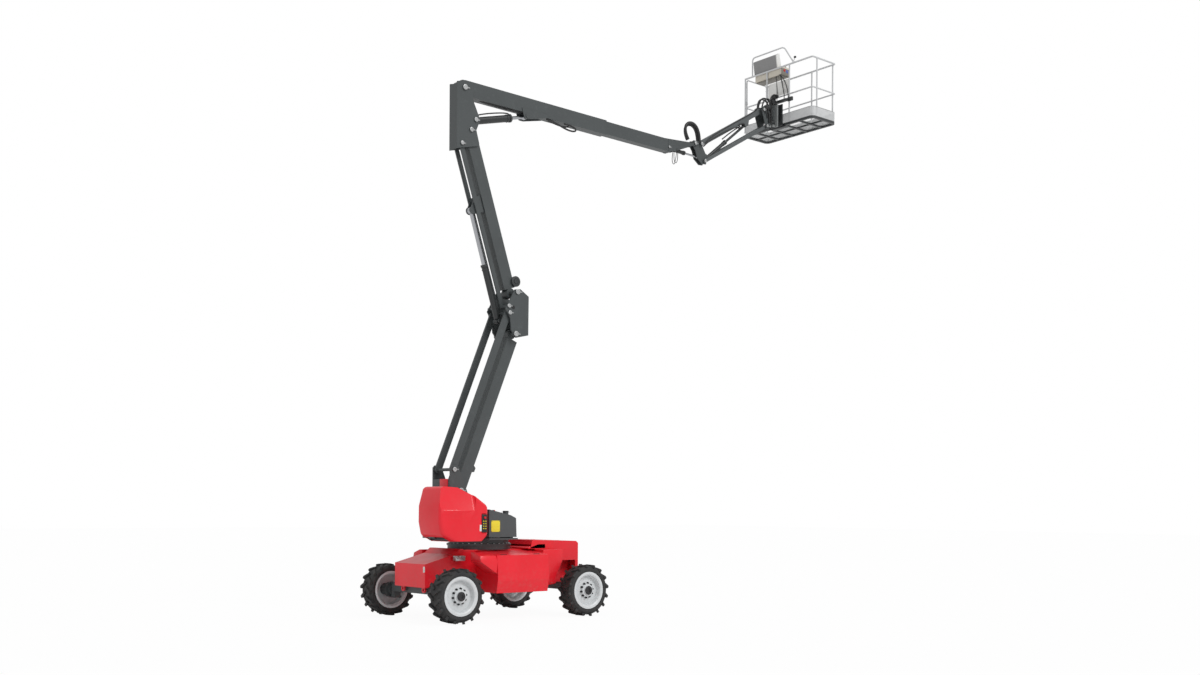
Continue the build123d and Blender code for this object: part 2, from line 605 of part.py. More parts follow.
parts["upper_cyl_barrel"] = bore(parts["upper_cyl_barrel"], UPPER_CYL_BASE, PIN_R)


# Upright at the top of the upper riser
def upright():
    x, z = UPPER_TOP
    outline = [(x - 275, z - 346), (x - 275, z + 725), (x - 140, z + 760), (x + 30, z + 760), (x + 40, z + 470),
               (x + 175, z + 190), (x + 100, z + 10), (x + 160, z - 200), (x + 130, z - 240)]
    tower = Part()
    for y0 in (-110, 95):
        tower += profile(outline, y0, y0 + 15)
    tower += block(x - 275, x - 264, -96, 96, z - 346, z + 700)
    for point, r in ((UPPER_TOP, PIN_R), (UPPER_LINK_TOP, PIN_R), (BOOM_PIVOT, BIG_PIN_R),
                     (BOOM_CYL_BASE, PIN_R)):
        tower += pin(point, r, -118, 118)
    return tower


parts["upright"] = upright()


# Main boom: outer tube and sliding tube
def wear_pads(x0, x1, half, thick):
    """Four sliding pads between the tubes; a negative thickness reaches inwards."""
    z0, z1 = BOOM_BOTTOM_Z + (BOOM_WIDTH / 2 - half), BOOM_TOP_Z - (BOOM_WIDTH / 2 - half)
    mid = (z0 + z1) / 2
    pads = Part()
    for side in (-1, 1):
        pads += block(x0, x1, *sorted((side * half, side * (half + thick))), mid - 90, mid + 90)
    for z, away in ((z0, -1), (z1, 1)):
        pads += block(x0, x1, -60, 60, *sorted((z, z + away * thick)))
    return pads


def boom_outer():
    half = BOOM_WIDTH / 2
    x, z = BOOM_PIVOT
    tube = block(x + 20, BOOM_END_X, -half, half, BOOM_BOTTOM_Z, BOOM_TOP_Z)
    tube -= block(x + 220, BOOM_END_X + 1, -half + BOOM_WALL, half - BOOM_WALL,
                  BOOM_BOTTOM_Z + BOOM_WALL, BOOM_TOP_Z - BOOM_WALL)
    tube += pin(BOOM_PIVOT, BOOM_BELOW - 2, -half, half)
    tube = bore(tube, BOOM_PIVOT, BIG_PIN_R)
    # Gusset plates on the tube's sides hold the boom cylinder's rod eye
    x += 1277
    gusset = [(x - 120, BOOM_BOTTOM_Z + 60), (x + 420, BOOM_BOTTOM_Z + 60), (x + 420, BOOM_BOTTOM_Z - 2),
              (x + 40, BOOM_BOTTOM_Z - 96), (x - 46, BOOM_BOTTOM_Z - 96), (x - 80, BOOM_BOTTOM_Z - 60)]
    for side in (-1, 1):
        tube += profile(gusset, *span(side, half, half + 10))
        tube += pin((x, BOOM_BOTTOM_Z - 52), 40, *span(side, 34, half + 18))
    tube += wear_pads(BOOM_END_X - 90, BOOM_END_X - 10, half - BOOM_WALL, -FLY_GAP + SEAT_GAP)
    return boomed(tube)


def boom_fly():
    half = BOOM_WIDTH / 2 - BOOM_WALL - FLY_GAP
    z0 = BOOM_BOTTOM_Z + BOOM_WALL + FLY_GAP
    z1 = BOOM_TOP_Z - BOOM_WALL - FLY_GAP
    tube = block(FLY_START_X, FLY_END_X, -half, half, z0, z1)
    tube -= block(FLY_START_X - 1, FLY_END_X + 1, -half + FLY_WALL, half - FLY_WALL, z0 + FLY_WALL, z1 - FLY_WALL)
    tube += block(FLY_END_X - 60, FLY_END_X - 5, -half - 3, half + 3, z0 - 3, z1 + 3) - block(
        FLY_END_X - 61, FLY_END_X, -half + 1, half - 1, z0 + 1, z1 - 1)
    x, z = shift(BOOM_PIVOT, NOSE_REACH)
    cheek = [(FLY_END_X - 160, z0 + 4), (FLY_END_X - 160, z1), (x - 60, z - 5), (x + 40, z + 30), (x + 40, z - 40),
             (x - 60, z - 60), (FLY_END_X + 120, z0 + 40)]
    for y0 in (-half, half - 12):
        tube += profile(cheek, y0, y0 + 12)
    tube += pin((x, z), PIN_R, -half - 6, half + 6)
    tube += wear_pads(FLY_START_X + 10, FLY_START_X + 90, half, FLY_GAP - SEAT_GAP)
    return boomed(tube) + pin(LEVEL_CYL_BASE, 16, -half, half)


parts["boom_outer"] = boom_outer()
parts["boom_fly"] = boom_fly()
parts["boom_cyl_barrel"], parts["boom_cyl_rod"] = cylinder_pair(
    BOOM_CYL_BASE, BOOM_CYL_EYE, 58, 28, 790, 150, 60)
parts["boom_cyl_barrel"] = bore(parts["boom_cyl_barrel"], BOOM_CYL_BASE, PIN_R)
parts["level_cyl_barrel"], parts["level_cyl_rod"] = cylinder_pair(
    LEVEL_CYL_BASE, LEVEL_CYL_EYE, 34, 18, 450, 370, 40)
parts["level_cyl_barrel"] = bore(parts["level_cyl_barrel"], LEVEL_CYL_BASE, 16)


# Boom nose, kept upright by the levelling cylinder
def boom_nose():
    x, z = NOSE_PIVOT
    jx, jz = JIB_LINK_PIVOT
    outline = [(x - 45, z + 30), (x - 30, z + 55), (x + 200, z + 65), (x + 215, z - 30), (jx + 40, jz + 150),
               (jx + 110, jz + 130), (jx + 90, jz + 60), (jx + 50, jz - 50), (jx - 50, jz - 60),
               (x + 70, z - 260), (x + 20, z - 120), (x - 45, z - 40)]
    core = Part()
    for y0 in (-52, 40):
        core += profile(outline, y0, y0 + 12)
    core += block(x - 25, x + 95, -41, 41, z + 36, z + 48)
    core = bore(core, NOSE_PIVOT, PIN_R)
    for point in (JIB_PIVOT, JIB_LINK_PIVOT):
        core += pin(point, PIN_R, -90, 90)
    return core


parts["boom_nose"] = boom_nose()


# Jib arm, its pair of lower links, and its cylinder
def jib_arm():
    arm = box_arm(JIB_PIVOT, JIB_TOP, 76, (-JIB_ARM_DEPTH / 2, JIB_ARM_DEPTH / 2), 5, 45)
    # Slot in the underside where the cylinder's rod runs up into the arm
    arm -= along(JIB_PIVOT, JIB_TOP) * Pos(1310, 0, -10) * Box(940, 58, JIB_ARM_DEPTH - 16)
    arm -= along(JIB_PIVOT, JIB_TOP) * Pos(1310, 0, -JIB_ARM_DEPTH / 2) * Box(940, 58, 12)
    foot = 0.4 * JIB_ARM_DEPTH
    for side in (-1, 1):
        lug = [at(JIB_PIVOT, JIB_ANGLE, a, b) for a, b in
               ((1340, -foot), (1530, -foot), (1445, -foot - 92), (1365, -foot - 92))]
        arm += profile(lug, *span(side, 30, 42))
    return bore(bore(arm, JIB_PIVOT, PIN_R), JIB_TOP, PIN_R)


parts["jib_arm"] = jib_arm()
parts["jib_links"] = Compound(children=[
    bore(bar(JIB_LINK_PIVOT, JIB_LINK_TOP, y0, y0 + 25, JIB_LINK_DEPTH), JIB_LINK_PIVOT, PIN_R) for y0 in (-85, 60)])
parts["jib_links"] = bore(parts["jib_links"], JIB_LINK_TOP, PIN_R)
parts["jib_cyl_barrel"], parts["jib_cyl_rod"] = cylinder_pair(
    JIB_CYL_BASE, JIB_CYL_EYE, 36, 24, 790, 490, 48)
parts["jib_cyl_barrel"] = bore(parts["jib_cyl_barrel"], JIB_CYL_BASE, PIN_R)


# Jib head with the rotary actuator
def jib_head():
    x, z = JIB_TOP
    lx, lz = JIB_LINK_TOP
    back = ROTATOR_X - 165
    outline = [(x - 48, z - 40), (x - 40, z + 48), (x + 40, z + 100), (back, z + 130), (back, z - 210),
               (lx + 60, lz - 50), (lx - 30, lz - 50), (lx - 50, lz + 20)]
    head = Part()
    for y0 in (-110, 95):
        head += profile(outline, y0, y0 + 15)
    head += block(back - 15, back, -96, 96, z - 190, z + 120)
    head += block(back - 1, ROTATOR_X, -60, 60, z - 60, z + 120)
    for point in (JIB_TOP, JIB_LINK_TOP):
        head += pin(point, PIN_R, -118, 118)
    return head + Pos(ROTATOR_X, 0, ROTATOR_Z) * Cylinder(70, ROTATOR_HEIGHT)


parts["jib_head"] = jib_head()


# Platform
def platform_bracket():
    x0 = PLATFORM_X[0]
    half = ROTATOR_HEIGHT / 2 + SEAT_GAP
    arm = block(x0 - 24, x0 - SEAT_GAP, -150, 150, PLATFORM_FLOOR_Z + 5, ROTATOR_Z + half + 25)
    for z0 in (ROTATOR_Z - half - 25, ROTATOR_Z + half):
        arm += Pos(ROTATOR_X, 0, z0 + 12.5) * Cylinder(72, 25)
        arm += block(ROTATOR_X, x0 - 12, -72, 72, z0, z0 + 25)
    return arm


def platform_frame():
    x0, x1 = PLATFORM_X
    h = PLATFORM_HALF
    z = PLATFORM_FLOOR_Z
    top = z + FLOOR_DEPTH
    rim = FLOOR_RIM
    frame = block(x0, x1, -h, h, z, top) - block(x0 + rim, x1 - rim, -h + rim, h - rim, z - 1, top + 1)
    for y in (-h / 3, h / 3):
        frame += block(x0 + rim - 1, x1 - rim + 1, y - 30, y + 30, z, top - 20)
    mid = (x0 + x1) / 2
    return frame + block(mid - 20, mid + 20, -h + rim - 1, h - rim + 1, z, top - 20)


def platform_floor():
    x0, x1 = PLATFORM_X
    h = PLATFORM_HALF
    top = PLATFORM_FLOOR_Z + FLOOR_DEPTH
    edge = FLOOR_RIM + SEAT_GAP
    deck = block(x0 + edge, x1 - edge, -h + edge, h - edge, top - 20 + SEAT_GAP, top - 8)
    toe = block(x0, x1, -h, h, top + SEAT_GAP, top + TOE_HEIGHT)
    return Compound(children=[deck, toe - block(x0 + 4, x1 - 4, -h + 4, h - 4, top - 1, top + TOE_HEIGHT + 1)])


def rail_bar(p, q, r):
    """Round bar between two points."""
    run = Vector(*q) - Vector(*p)
    return extrude(Plane(origin=p, z_dir=run) * Circle(r), amount=run.length)


def guard_rails():
    r = RAIL_DIA / 2
    x0, x1 = PLATFORM_X[0] + r + 6, PLATFORM_X[1] - r - 6
    h = PLATFORM_HALF - r - 6
    z0 = PLATFORM_FLOOR_Z + FLOOR_DEPTH + SEAT_GAP
    top = PLATFORM_FLOOR_Z + PLATFORM_HEIGHT - r
    rails = rail_bar((x0, -h, top), (x0, h, top), r)
    rails += rail_bar((x1, -h, top), (x1, h, top), r)
    rails += rail_bar((x0, -h, top), (x1, -h, top), r - 1)
    z = PLATFORM_FLOOR_Z + PLATFORM_HEIGHT / 2
    rails += rail_bar((x0, -h, z), (x0, h, z), r - 2)
    rails += rail_bar((x1, -h, z), (x1, h, z), r - 2)
    rails += rail_bar((x0, -h, z), (x1, -h, z), r - 3)
    for x, y in ((x0, -h), (x0, h), (x1, -h), (x1, h), (x1, -h / 3), (x1, h / 3), (x0, -h / 3), (x0, h / 3)):
        rails += rail_bar((x, y, z0), (x, y, top + 5), r - 1.5)
    # Hoop over the control console
    hoop = [(x0, 0.78 * h, top), (x0, 0.78 * h, top + 340), (x0, 0.72 * h, top + 385), (x0, -0.15 * h, top + 385),
            (x0, -0.22 * h, top + 350), (x0, -0.46 * h, top)]
    for p, q in zip(hoop, hoop[1:]):
        rails += rail_bar(p, q, r - 3)
    for p in hoop[1:-1]:
        rails += Pos(*p) * Sphere(r - 3)
    # Two hinge eyes on the corner post for the gate
    for z in GATE_HINGE_Z:
        eye = Pos(GATE_X[1], h, z) * Cylinder(GATE_BAR_R + 8, 30) + block(GATE_X[1], x1, h - 8, h + 8, z - 15, z + 15)
        rails += eye - Pos(GATE_X[1], h, z) * Cylinder(GATE_BAR_R + PIN_FIT, 40)
    return rails


GATE_X = (PLATFORM_X[0] + 70, PLATFORM_X[1] - 60)
GATE_Z = (PLATFORM_FLOOR_Z + FLOOR_DEPTH + 190, PLATFORM_FLOOR_Z + PLATFORM_HEIGHT - 24)
GATE_HINGE_Z = (GATE_Z[0] + 90, GATE_Z[1] - 90)
parts["platform_bracket"] = platform_bracket()
parts["platform_frame"] = platform_frame()
parts["platform_floor"] = platform_floor()
parts["guard_rails"] = guard_rails()


def platform_gate():
    y = PLATFORM_HALF - RAIL_DIA / 2 - 6
    gate = Part()
    for z in (GATE_Z[0], PLATFORM_FLOOR_Z + PLATFORM_HEIGHT / 2, GATE_Z[1]):
        gate += rail_bar((GATE_X[0], y, z), (GATE_X[1], y, z), GATE_BAR_R - 1)
    for x in GATE_X:
        gate += rail_bar((x, y, GATE_Z[0] - 10), (x, y, GATE_Z[1] + 10), GATE_BAR_R)
    return gate


parts["platform_gate"] = platform_gate()


# Platform control console: a moulded case over the rear rail
def control_console():
    x0 = PLATFORM_X[0] + RAIL_DIA + 6 + SEAT_GAP
    top = PLATFORM_FLOOR_Z + PLATFORM_HEIGHT
    outline = [(x0, top - 160), (x0, top + 20), (x0 - 38, top + 260), (x0 + 60, top + 310), (x0 + 110, top + 110),
               (x0 + 250, top + 70), (x0 + 250, top - 110), (x0 + 180, top - 160)]
    room = [(x0 + 6, top - 154), (x0 + 6, top + 20), (x0 - 31, top + 256), (x0 + 56, top + 301), (x0 + 105, top + 105),
            (x0 + 244, top + 65), (x0 + 244, top - 107), (x0 + 177, top - 154)]
    return profile(outline, -70, 680) - profile(room, -64, 674)


parts["control_console"] = control_console()

# The stored frame has its origin on the ground at the middle of the whole machine
ORIGIN_X = (FRONT_AXLE_X - WHEEL_R + PLATFORM_X[1]) / 2
os.makedirs("parts", exist_ok=True)
for name, solid in parts.items():
    export_step(Pos(-ORIGIN_X, 0, 0) * solid, f"parts/{name}.step")
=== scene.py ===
import json
import math

import bpy
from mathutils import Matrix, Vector


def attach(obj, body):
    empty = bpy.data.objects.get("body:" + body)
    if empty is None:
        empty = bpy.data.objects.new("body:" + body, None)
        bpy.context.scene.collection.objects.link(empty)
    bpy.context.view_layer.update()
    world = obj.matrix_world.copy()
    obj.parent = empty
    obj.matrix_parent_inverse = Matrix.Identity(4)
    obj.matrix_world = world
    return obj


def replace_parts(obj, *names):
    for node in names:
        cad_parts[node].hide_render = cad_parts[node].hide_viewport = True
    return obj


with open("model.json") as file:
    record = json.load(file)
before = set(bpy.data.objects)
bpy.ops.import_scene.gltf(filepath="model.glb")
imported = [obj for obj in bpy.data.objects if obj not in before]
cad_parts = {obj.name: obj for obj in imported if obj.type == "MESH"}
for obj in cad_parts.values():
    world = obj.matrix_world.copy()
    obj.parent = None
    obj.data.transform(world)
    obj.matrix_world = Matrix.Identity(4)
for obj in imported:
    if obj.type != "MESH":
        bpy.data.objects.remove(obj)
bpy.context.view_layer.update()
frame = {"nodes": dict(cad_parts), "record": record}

# The view: the machine stands three-quarter on, seen from a person's height,
# with the horizon low in the frame, as a shift of a level camera gives it.
camera_data = bpy.data.cameras.new("camera")
camera_data.lens = 37.70
camera_data.sensor_width = 36.0
camera_data.shift_y = 0.1417
camera_data.clip_end = 300.0
camera = bpy.data.objects.new("camera", camera_data)
camera.location = (-14.950, -16.925, 1.777)
camera.rotation_euler = (math.radians(90), -0.006, math.radians(-40.30))
bpy.context.collection.objects.link(camera)
bpy.context.scene.camera = camera
bpy.context.scene.view_settings.view_transform = "Standard"


# The studio floor: pale seamless paper, so wide that its edge falls at the horizon.
# The camera sees it nearly bleached, with only a trace of the machine's soft shadow.
class Value:
    """A number that a shader socket carries, so that finishes read as sums."""

    def __init__(self, finish, socket):
        self.finish, self.socket = finish, socket

    def _maths(self, operation, first, second=0.0):
        return self.finish.node("ShaderNodeMath", {"operation": operation}, {0: first, 1: second})

    def __add__(self, other):
        return self._maths("ADD", self, other)

    def __radd__(self, other):
        return self._maths("ADD", other, self)

    def __sub__(self, other):
        return self._maths("SUBTRACT", self, other)

    def __rsub__(self, other):
        return self._maths("SUBTRACT", other, self)

    def __mul__(self, other):
        return self._maths("MULTIPLY", self, other)

    def __rmul__(self, other):
        return self._maths("MULTIPLY", other, self)

    def over(self, level):
        """1 above a level, 0 below it."""
        return self._maths("GREATER_THAN", self, level)

    def steps(self, low, high):
        """0 below low and 1 above high, smooth between."""
        return self.finish.node("ShaderNodeMapRange", {"interpolation_type": "SMOOTHSTEP"},
                                {"Value": self, "From Min": low, "From Max": high})


class Finish:
    """One material, with the nodes that give it its look."""

    def __init__(self, name, colour=(0.5, 0.5, 0.5), roughness=0.5, metallic=0.0, coat=0.0):
        self.material = bpy.data.materials.new(name)
        self.material.use_nodes = True
        self.tree = self.material.node_tree
        self.shader = self.tree.nodes["Principled BSDF"]
        self.set("Base Color", (*colour, 1.0))
        self.set("Roughness", roughness)
        self.set("Metallic", metallic)
        self.set("Coat Weight", coat)
        self.material.diffuse_color = (*colour, 1.0)

    def plug(self, socket, value):
        """Links a value to a socket, or sets a plain number or colour."""
        if isinstance(value, Value):
            self.tree.links.new(value.socket, socket)
        else:
            socket.default_value = value

    def set(self, name, value):
        self.plug(self.shader.inputs[name], value)

    def node(self, kind, settings=None, inputs=None, output=0):
        """Any other node, with its settings and inputs; gives back one output."""
        made = self.tree.nodes.new(kind)
        for key, value in (settings or {}).items():
            setattr(made, key, value)
        for key, value in (inputs or {}).items():
            self.plug(made.inputs[key], value)
        return Value(self, made.outputs[output])

    def place(self):
        return self.node("ShaderNodeTexCoord", output="Object")

    def noise(self, scale, detail=3.0, rough=0.5):
        inputs = {"Scale": scale, "Detail": detail, "Roughness": rough, "Vector": self.place()}
        return self.node("ShaderNodeTexNoise", {}, inputs)

    def blend(self, factor, first, second):
        """Mix of two colours."""
        node = self.tree.nodes.new("ShaderNodeMix")
        node.data_type = "RGBA"
        self.plug(node.inputs[0], factor)
        self.plug(node.inputs[6], first)
        self.plug(node.inputs[7], second)
        return Value(self, node.outputs[2])

    def bump(self, height, strength, distance):
        self.set("Normal", self.node("ShaderNodeBump", {}, {
            "Height": height, "Strength": strength, "Distance": distance}, "Normal"))


bpy.ops.object.select_all(action="DESELECT")
bpy.ops.mesh.primitive_grid_add(x_subdivisions=8, y_subdivisions=8, size=160.0, location=(0, 0, -0.002))
floor = bpy.context.object
floor.name = "studio_floor"
paper = Finish("studio_paper", (0.86, 0.86, 0.86), 0.9)
lit_paper = Value(paper, paper.shader.outputs[0])
glow = paper.node("ShaderNodeEmission", {}, {"Color": (1, 1, 1, 1), "Strength": 1.0})
bleached = paper.node("ShaderNodeMixShader", {}, {0: 0.95, 1: lit_paper, 2: glow})
to_camera = paper.node("ShaderNodeLightPath", output="Is Camera Ray")
seen = paper.node("ShaderNodeMixShader", {}, {0: to_camera, 1: lit_paper, 2: bleached})
paper.plug(paper.tree.nodes["Material Output"].inputs["Surface"], seen)
floor.data.materials.append(paper.material)

# Light: a white room, and one broad soft sun high in front of the machine. The
# camera sees the room as pure white; everything else is lit by it a little dimmer.
world = bpy.data.worlds.new("white_room")
bpy.context.scene.world = world
world.use_nodes = True
sky = world.node_tree
background = sky.nodes["Background"]
background.inputs["Color"].default_value = (1, 1, 1, 1)
background.inputs["Strength"].default_value = 0.68
white = sky.nodes.new("ShaderNodeBackground")
white.inputs["Color"].default_value = (1, 1, 1, 1)
white.inputs["Strength"].default_value = 1.0
pick = sky.nodes.new("ShaderNodeMixShader")
path = sky.nodes.new("ShaderNodeLightPath")
sky.links.new(path.outputs["Is Camera Ray"], pick.inputs[0])
sky.links.new(background.outputs[0], pick.inputs[1])
sky.links.new(white.outputs[0], pick.inputs[2])
sky.links.new(pick.outputs[0], sky.nodes["World Output"].inputs["Surface"])
sun_data = bpy.data.lights.new("soft_sun", "SUN")
sun_data.energy = 1.35
sun_data.angle = math.radians(25)
sun = bpy.data.objects.new("soft_sun", sun_data)
sun.rotation_euler = (math.radians(46), 0, math.radians(10))
bpy.context.collection.objects.link(sun)


# Chassis covers: pressed steel skins and glass-fibre lids, bolted to the frame, in
# bright red gloss paint. They are a little dusty low down, with faint orange peel.
def red_gloss(name):
    """Red gloss over a clear coat, with dust that thins out with height."""
    red = Finish(name, (0.76, 0.010, 0.022), 0.34, 0.0, 0.12)
    red.shader.inputs["Specular IOR Level"].default_value = 0.35
    fade = red.noise(2.4, 4.0)
    low = 1.0 - red.node("ShaderNodeSeparateXYZ", {}, {0: red.place()}, "Z").steps(0.35, 1.0)
    dust = red.noise(14.0, 6.0, rough=0.7).steps(0.42, 0.8) * (0.05 + 0.22 * low)
    tone = red.blend(fade, (0.70, 0.008, 0.018, 1), (0.84, 0.014, 0.030, 1))
    red.set("Base Color", red.blend(dust, tone, (0.32, 0.20, 0.17, 1)))
    red.set("Roughness", 0.26 + 0.16 * red.noise(5.0, 3.0) + 0.4 * dust)
    red.bump(red.noise(260.0, 2.0), 0.05, 0.0006)
    return red.material


def dress(material, *nodes):
    """Gives CAD nodes a finish through their material slots."""
    for name in nodes:
        body = frame["nodes"][name]
        if not body.material_slots:
            body.data.materials.append(material)
        for place in body.material_slots:
            place.material = material


chassis_red = red_gloss("chassis_red")
dress(chassis_red, "chassis_frame", "front_cover", "rear_cover", "side_box_left", "side_box_right")
cover_red = red_gloss("cover_red")
dress(cover_red, "engine_hood", "valve_cover")


# Arms, links, elbow, upright, booms and stanchions: welded steel plate and tube in
# satin dark grey paint, with rolled-plate ripple and faint, lighter scuffs.
def dark_paint(name, colour, lift, roughness=0.42):
    """Satin paint that varies broadly, with scuffs that are a number of times lighter."""
    grey = Finish(name, colour, roughness)
    scuff = grey.noise(9.0, 8.0, rough=0.75).steps(0.52, 0.78)
    broad = grey.noise(1.1, 3.0)
    pale = tuple(min(1.0, c * lift) for c in colour) + (1,)
    deep = tuple(c * 0.72 for c in colour) + (1,)
    grey.set("Base Color", grey.blend(scuff * 0.35, grey.blend(broad, deep, (*colour, 1)), pale))
    grey.set("Roughness", roughness - 0.08 + 0.2 * broad + 0.12 * scuff)
    grey.bump(grey.noise(90.0, 4.0), 0.08, 0.0008)
    return grey.material


boom_grey = dark_paint("boom_grey", (0.066, 0.075, 0.077), 1.8)
for row in frame["record"]["subparts"]:
    if row["material_slot"] in ("boom_grey", "dark_steel", "cast_iron", "black_plastic"):
        dress(boom_grey, row["node"])
jib_grey = dark_paint("jib_grey", (0.105, 0.115, 0.118), 1.7)
dress(jib_grey, "jib_arm", "jib_links")


# Pivot pins: turned steel, zinc plated and dull. Each pin ends in a chamfered head
# outside its plate at both sides, held by a keeper plate with one bolt.
def bare_steel(name, colour, roughness):
    steel = Finish(name, colour, roughness, 0.85)
    worn = steel.noise(40.0, 5.0, rough=0.7).steps(0.35, 0.75)
    steel.set("Base Color", steel.blend(worn, (*colour, 1), tuple(c * 0.55 for c in colour) + (1,)))
    steel.set("Roughness", roughness + 0.25 * worn)
    steel.bump(steel.noise(300.0, 3.0), 0.1, 0.0005)
    return steel.material


# The slewing axis stands this far behind the model's origin, in millimetres.
ORIGIN_X = 3184.75


def spot(x, y, z):
    """Place in the model, in metres, of a point in millimetres from the slewing axis."""
    return Vector(((x - ORIGIN_X) / 1000, y / 1000, z / 1000))


def alone(piece):
    """Makes a piece the only selected one, and the active one."""
    bpy.ops.object.select_all(action="DESELECT")
    piece.select_set(True)
    bpy.context.view_layer.objects.active = piece


def picked(piece, kind, wanted):
    """Selects the faces or edges of a piece that a test wants, and goes into edit mode."""
    alone(piece)
    bpy.ops.object.mode_set(mode="EDIT")
    bpy.ops.mesh.select_mode(type=kind)
    bpy.ops.mesh.select_all(action="DESELECT")
    bpy.ops.object.mode_set(mode="OBJECT")
    for element in piece.data.polygons if kind == "FACE" else piece.data.edges:
        element.select = wanted(element)
    bpy.ops.object.mode_set(mode="EDIT")


def bevelled(piece, width, segments=2):
    """Rounds the sharp edges of a piece to a width in metres."""
    alone(piece)
    edge = piece.modifiers.new("bevel", "BEVEL")
    edge.width, edge.segments, edge.limit_method = width, segments, "ANGLE"
    bpy.ops.object.modifier_apply(modifier=edge.name)
    return piece


def disc(name, centre, axis, radius, depth, rim=0.12, faces=32):
    """Round head, turned about an axis, its outer edge chamfered and its face sunk."""
    bpy.ops.object.select_all(action="DESELECT")
    turn = Vector((0, 0, 1)).rotation_difference(Vector(axis))
    bpy.ops.mesh.primitive_cylinder_add(vertices=faces, radius=radius, depth=depth, location=centre,
                                        rotation=turn.to_euler())
    piece = bpy.context.object
    piece.name = name
    picked(piece, "FACE", lambda face: face.normal.z > 0.9)
    bpy.ops.mesh.inset(thickness=radius * rim, depth=0.0)
    bpy.ops.transform.translate(value=Vector(axis) * depth * 0.12)
    bpy.ops.mesh.inset(thickness=radius * 0.35, depth=0.0)
    bpy.ops.mesh.inset(thickness=radius * 0.05, depth=-depth * 0.25)
    bpy.ops.object.mode_set(mode="OBJECT")
    return piece


def slab(name, x, y, z, bevel=3.0, segments=2):
    """Plate or block between three ranges in millimetres, its edges rounded."""
    bpy.ops.object.select_all(action="DESELECT")
    low, high = spot(x[0], y[0], z[0]), spot(x[1], y[1], z[1])
    bpy.ops.mesh.primitive_cube_add(size=1.0, location=(low + high) / 2)
    piece = bpy.context.object
    piece.name = name
    piece.scale = high - low
    bpy.ops.object.transform_apply(location=True, rotation=False, scale=True)
    return bevelled(piece, bevel / 1000, segments) if bevel else piece


def carved(piece, *cuts):
    """Cuts a closed piece by planes, each a point in millimetres and a normal to its waste side."""
    alone(piece)
    bpy.ops.object.mode_set(mode="EDIT")
    for place, normal in cuts:
        bpy.ops.mesh.select_all(action="SELECT")
        bpy.ops.mesh.bisect(plane_co=spot(*place), plane_no=Vector(normal).normalized(), use_fill=True,
                            clear_outer=True)
    bpy.ops.object.mode_set(mode="OBJECT")
    return piece


def joined(name, pieces):
    """Makes one piece of several."""
    bpy.ops.object.select_all(action="DESELECT")
    for piece in pieces:
        piece.select_set(True)
    bpy.context.view_layer.objects.active = pieces[0]
    if len(pieces) > 1:
        bpy.ops.object.join()
    pieces[0].name = name
    return pieces[0]


def fitted(piece, material, body):
    """The last step for each piece: smooth faces, finish, the body it moves with, slot."""
    alone(piece)
    bpy.ops.object.transform_apply(location=True, rotation=True, scale=True)
    bpy.ops.object.shade_smooth_by_angle(angle=math.radians(35))
    piece.data.materials.clear()
    piece.data.materials.append(material)
    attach(piece, body)
    return piece


zinc = bare_steel("zinc_plate", (0.56, 0.57, 0.57), 0.38)
pins_of = {joint["name"]: joint["pos_m"] for joint in frame["record"]["behaviour"]["joints"] if "pos_m" in joint}


def pin_heads(name, body, places):
    """Heads and keepers at both ends of each pin; places are (x, z, reach, radius) in mm."""
    made = []
    for x, z, reach, radius in places:
        for side in (-1, 1):
            out = (0, side, 0)
            made.append(disc(name, spot(x, side * (reach + 7), z), out, radius / 1000, 0.014))
            made.append(slab(name, (x + radius * 0.3, x + radius * 2.0),
                             sorted((side * (reach + 0.5), side * (reach + 6))), (z - 10, z + 10), 2))
            made.append(disc(name, spot(x + radius * 1.7, side * (reach + 9), z), out, 0.008, 0.008, faces=6))
    fitted(joined(name, made), zinc, body)


def pivot(name):
    """The pin of a joint, as x and z in millimetres from the slewing axis."""
    x, y, z = pins_of[name]
    return x * 1000 + ORIGIN_X, z * 1000


pin_heads("stanchion_pins", "turntable", [(*pivot("lower_lift"), 268, 46), (*pivot("lower_links"), 268, 36),
                                          (*pivot("lower_cylinder"), 268, 36)])
elbow_foot = pivot("elbow")
pin_heads("elbow_pins", "elbow", [
    (*elbow_foot, 278, 44), (*pivot("upper_lift"), 278, 44), (*pivot("upper_links"), 278, 32),
    (elbow_foot[0] - 125, elbow_foot[1] + 335, 278, 34)])
upright_foot = pivot("upright")
pin_heads("upright_pins", "upright", [
    (*upright_foot, 118, 36), (upright_foot[0] - 176, upright_foot[1] - 248, 118, 32),
    (*pivot("boom_lift"), 118, 44), (*pivot("boom_cylinder"), 118, 36)])
pin_heads("nose_pins", "nose", [(*pivot("jib_lift"), 90, 30), (*pivot("jib_links"), 90, 30)])
head_foot = pivot("jib_head")
pin_heads("head_pins", "jib_head", [(*head_foot, 118, 30), (head_foot[0] + 95, head_foot[1] - 305, 118, 28)])
pin_heads("fly_pins", "fly", [(*pivot("nose_level"), 78, 32), (*pivot("level_cylinder"), 73, 22)])


# Tyres: foam-filled traction tyres with slanted lugs, moulded in black rubber, with
# dry dust on the lugs and side walls. Their shape comes from the solids.
rubber = Finish("tyre_rubber", (0.018, 0.018, 0.019), 0.78)
dusty = rubber.noise(7.0, 6.0, rough=0.7).steps(0.4, 0.75)
rubber.set("Base Color", rubber.blend(dusty * 0.6, (0.016, 0.016, 0.017, 1), (0.06, 0.056, 0.05, 1)))
rubber.set("Roughness", 0.66 + 0.2 * dusty)
rubber.bump(rubber.noise(120.0, 4.0), 0.25, 0.0015)
dress(rubber.material, *[n for n in frame["nodes"] if n.startswith("tyre")])

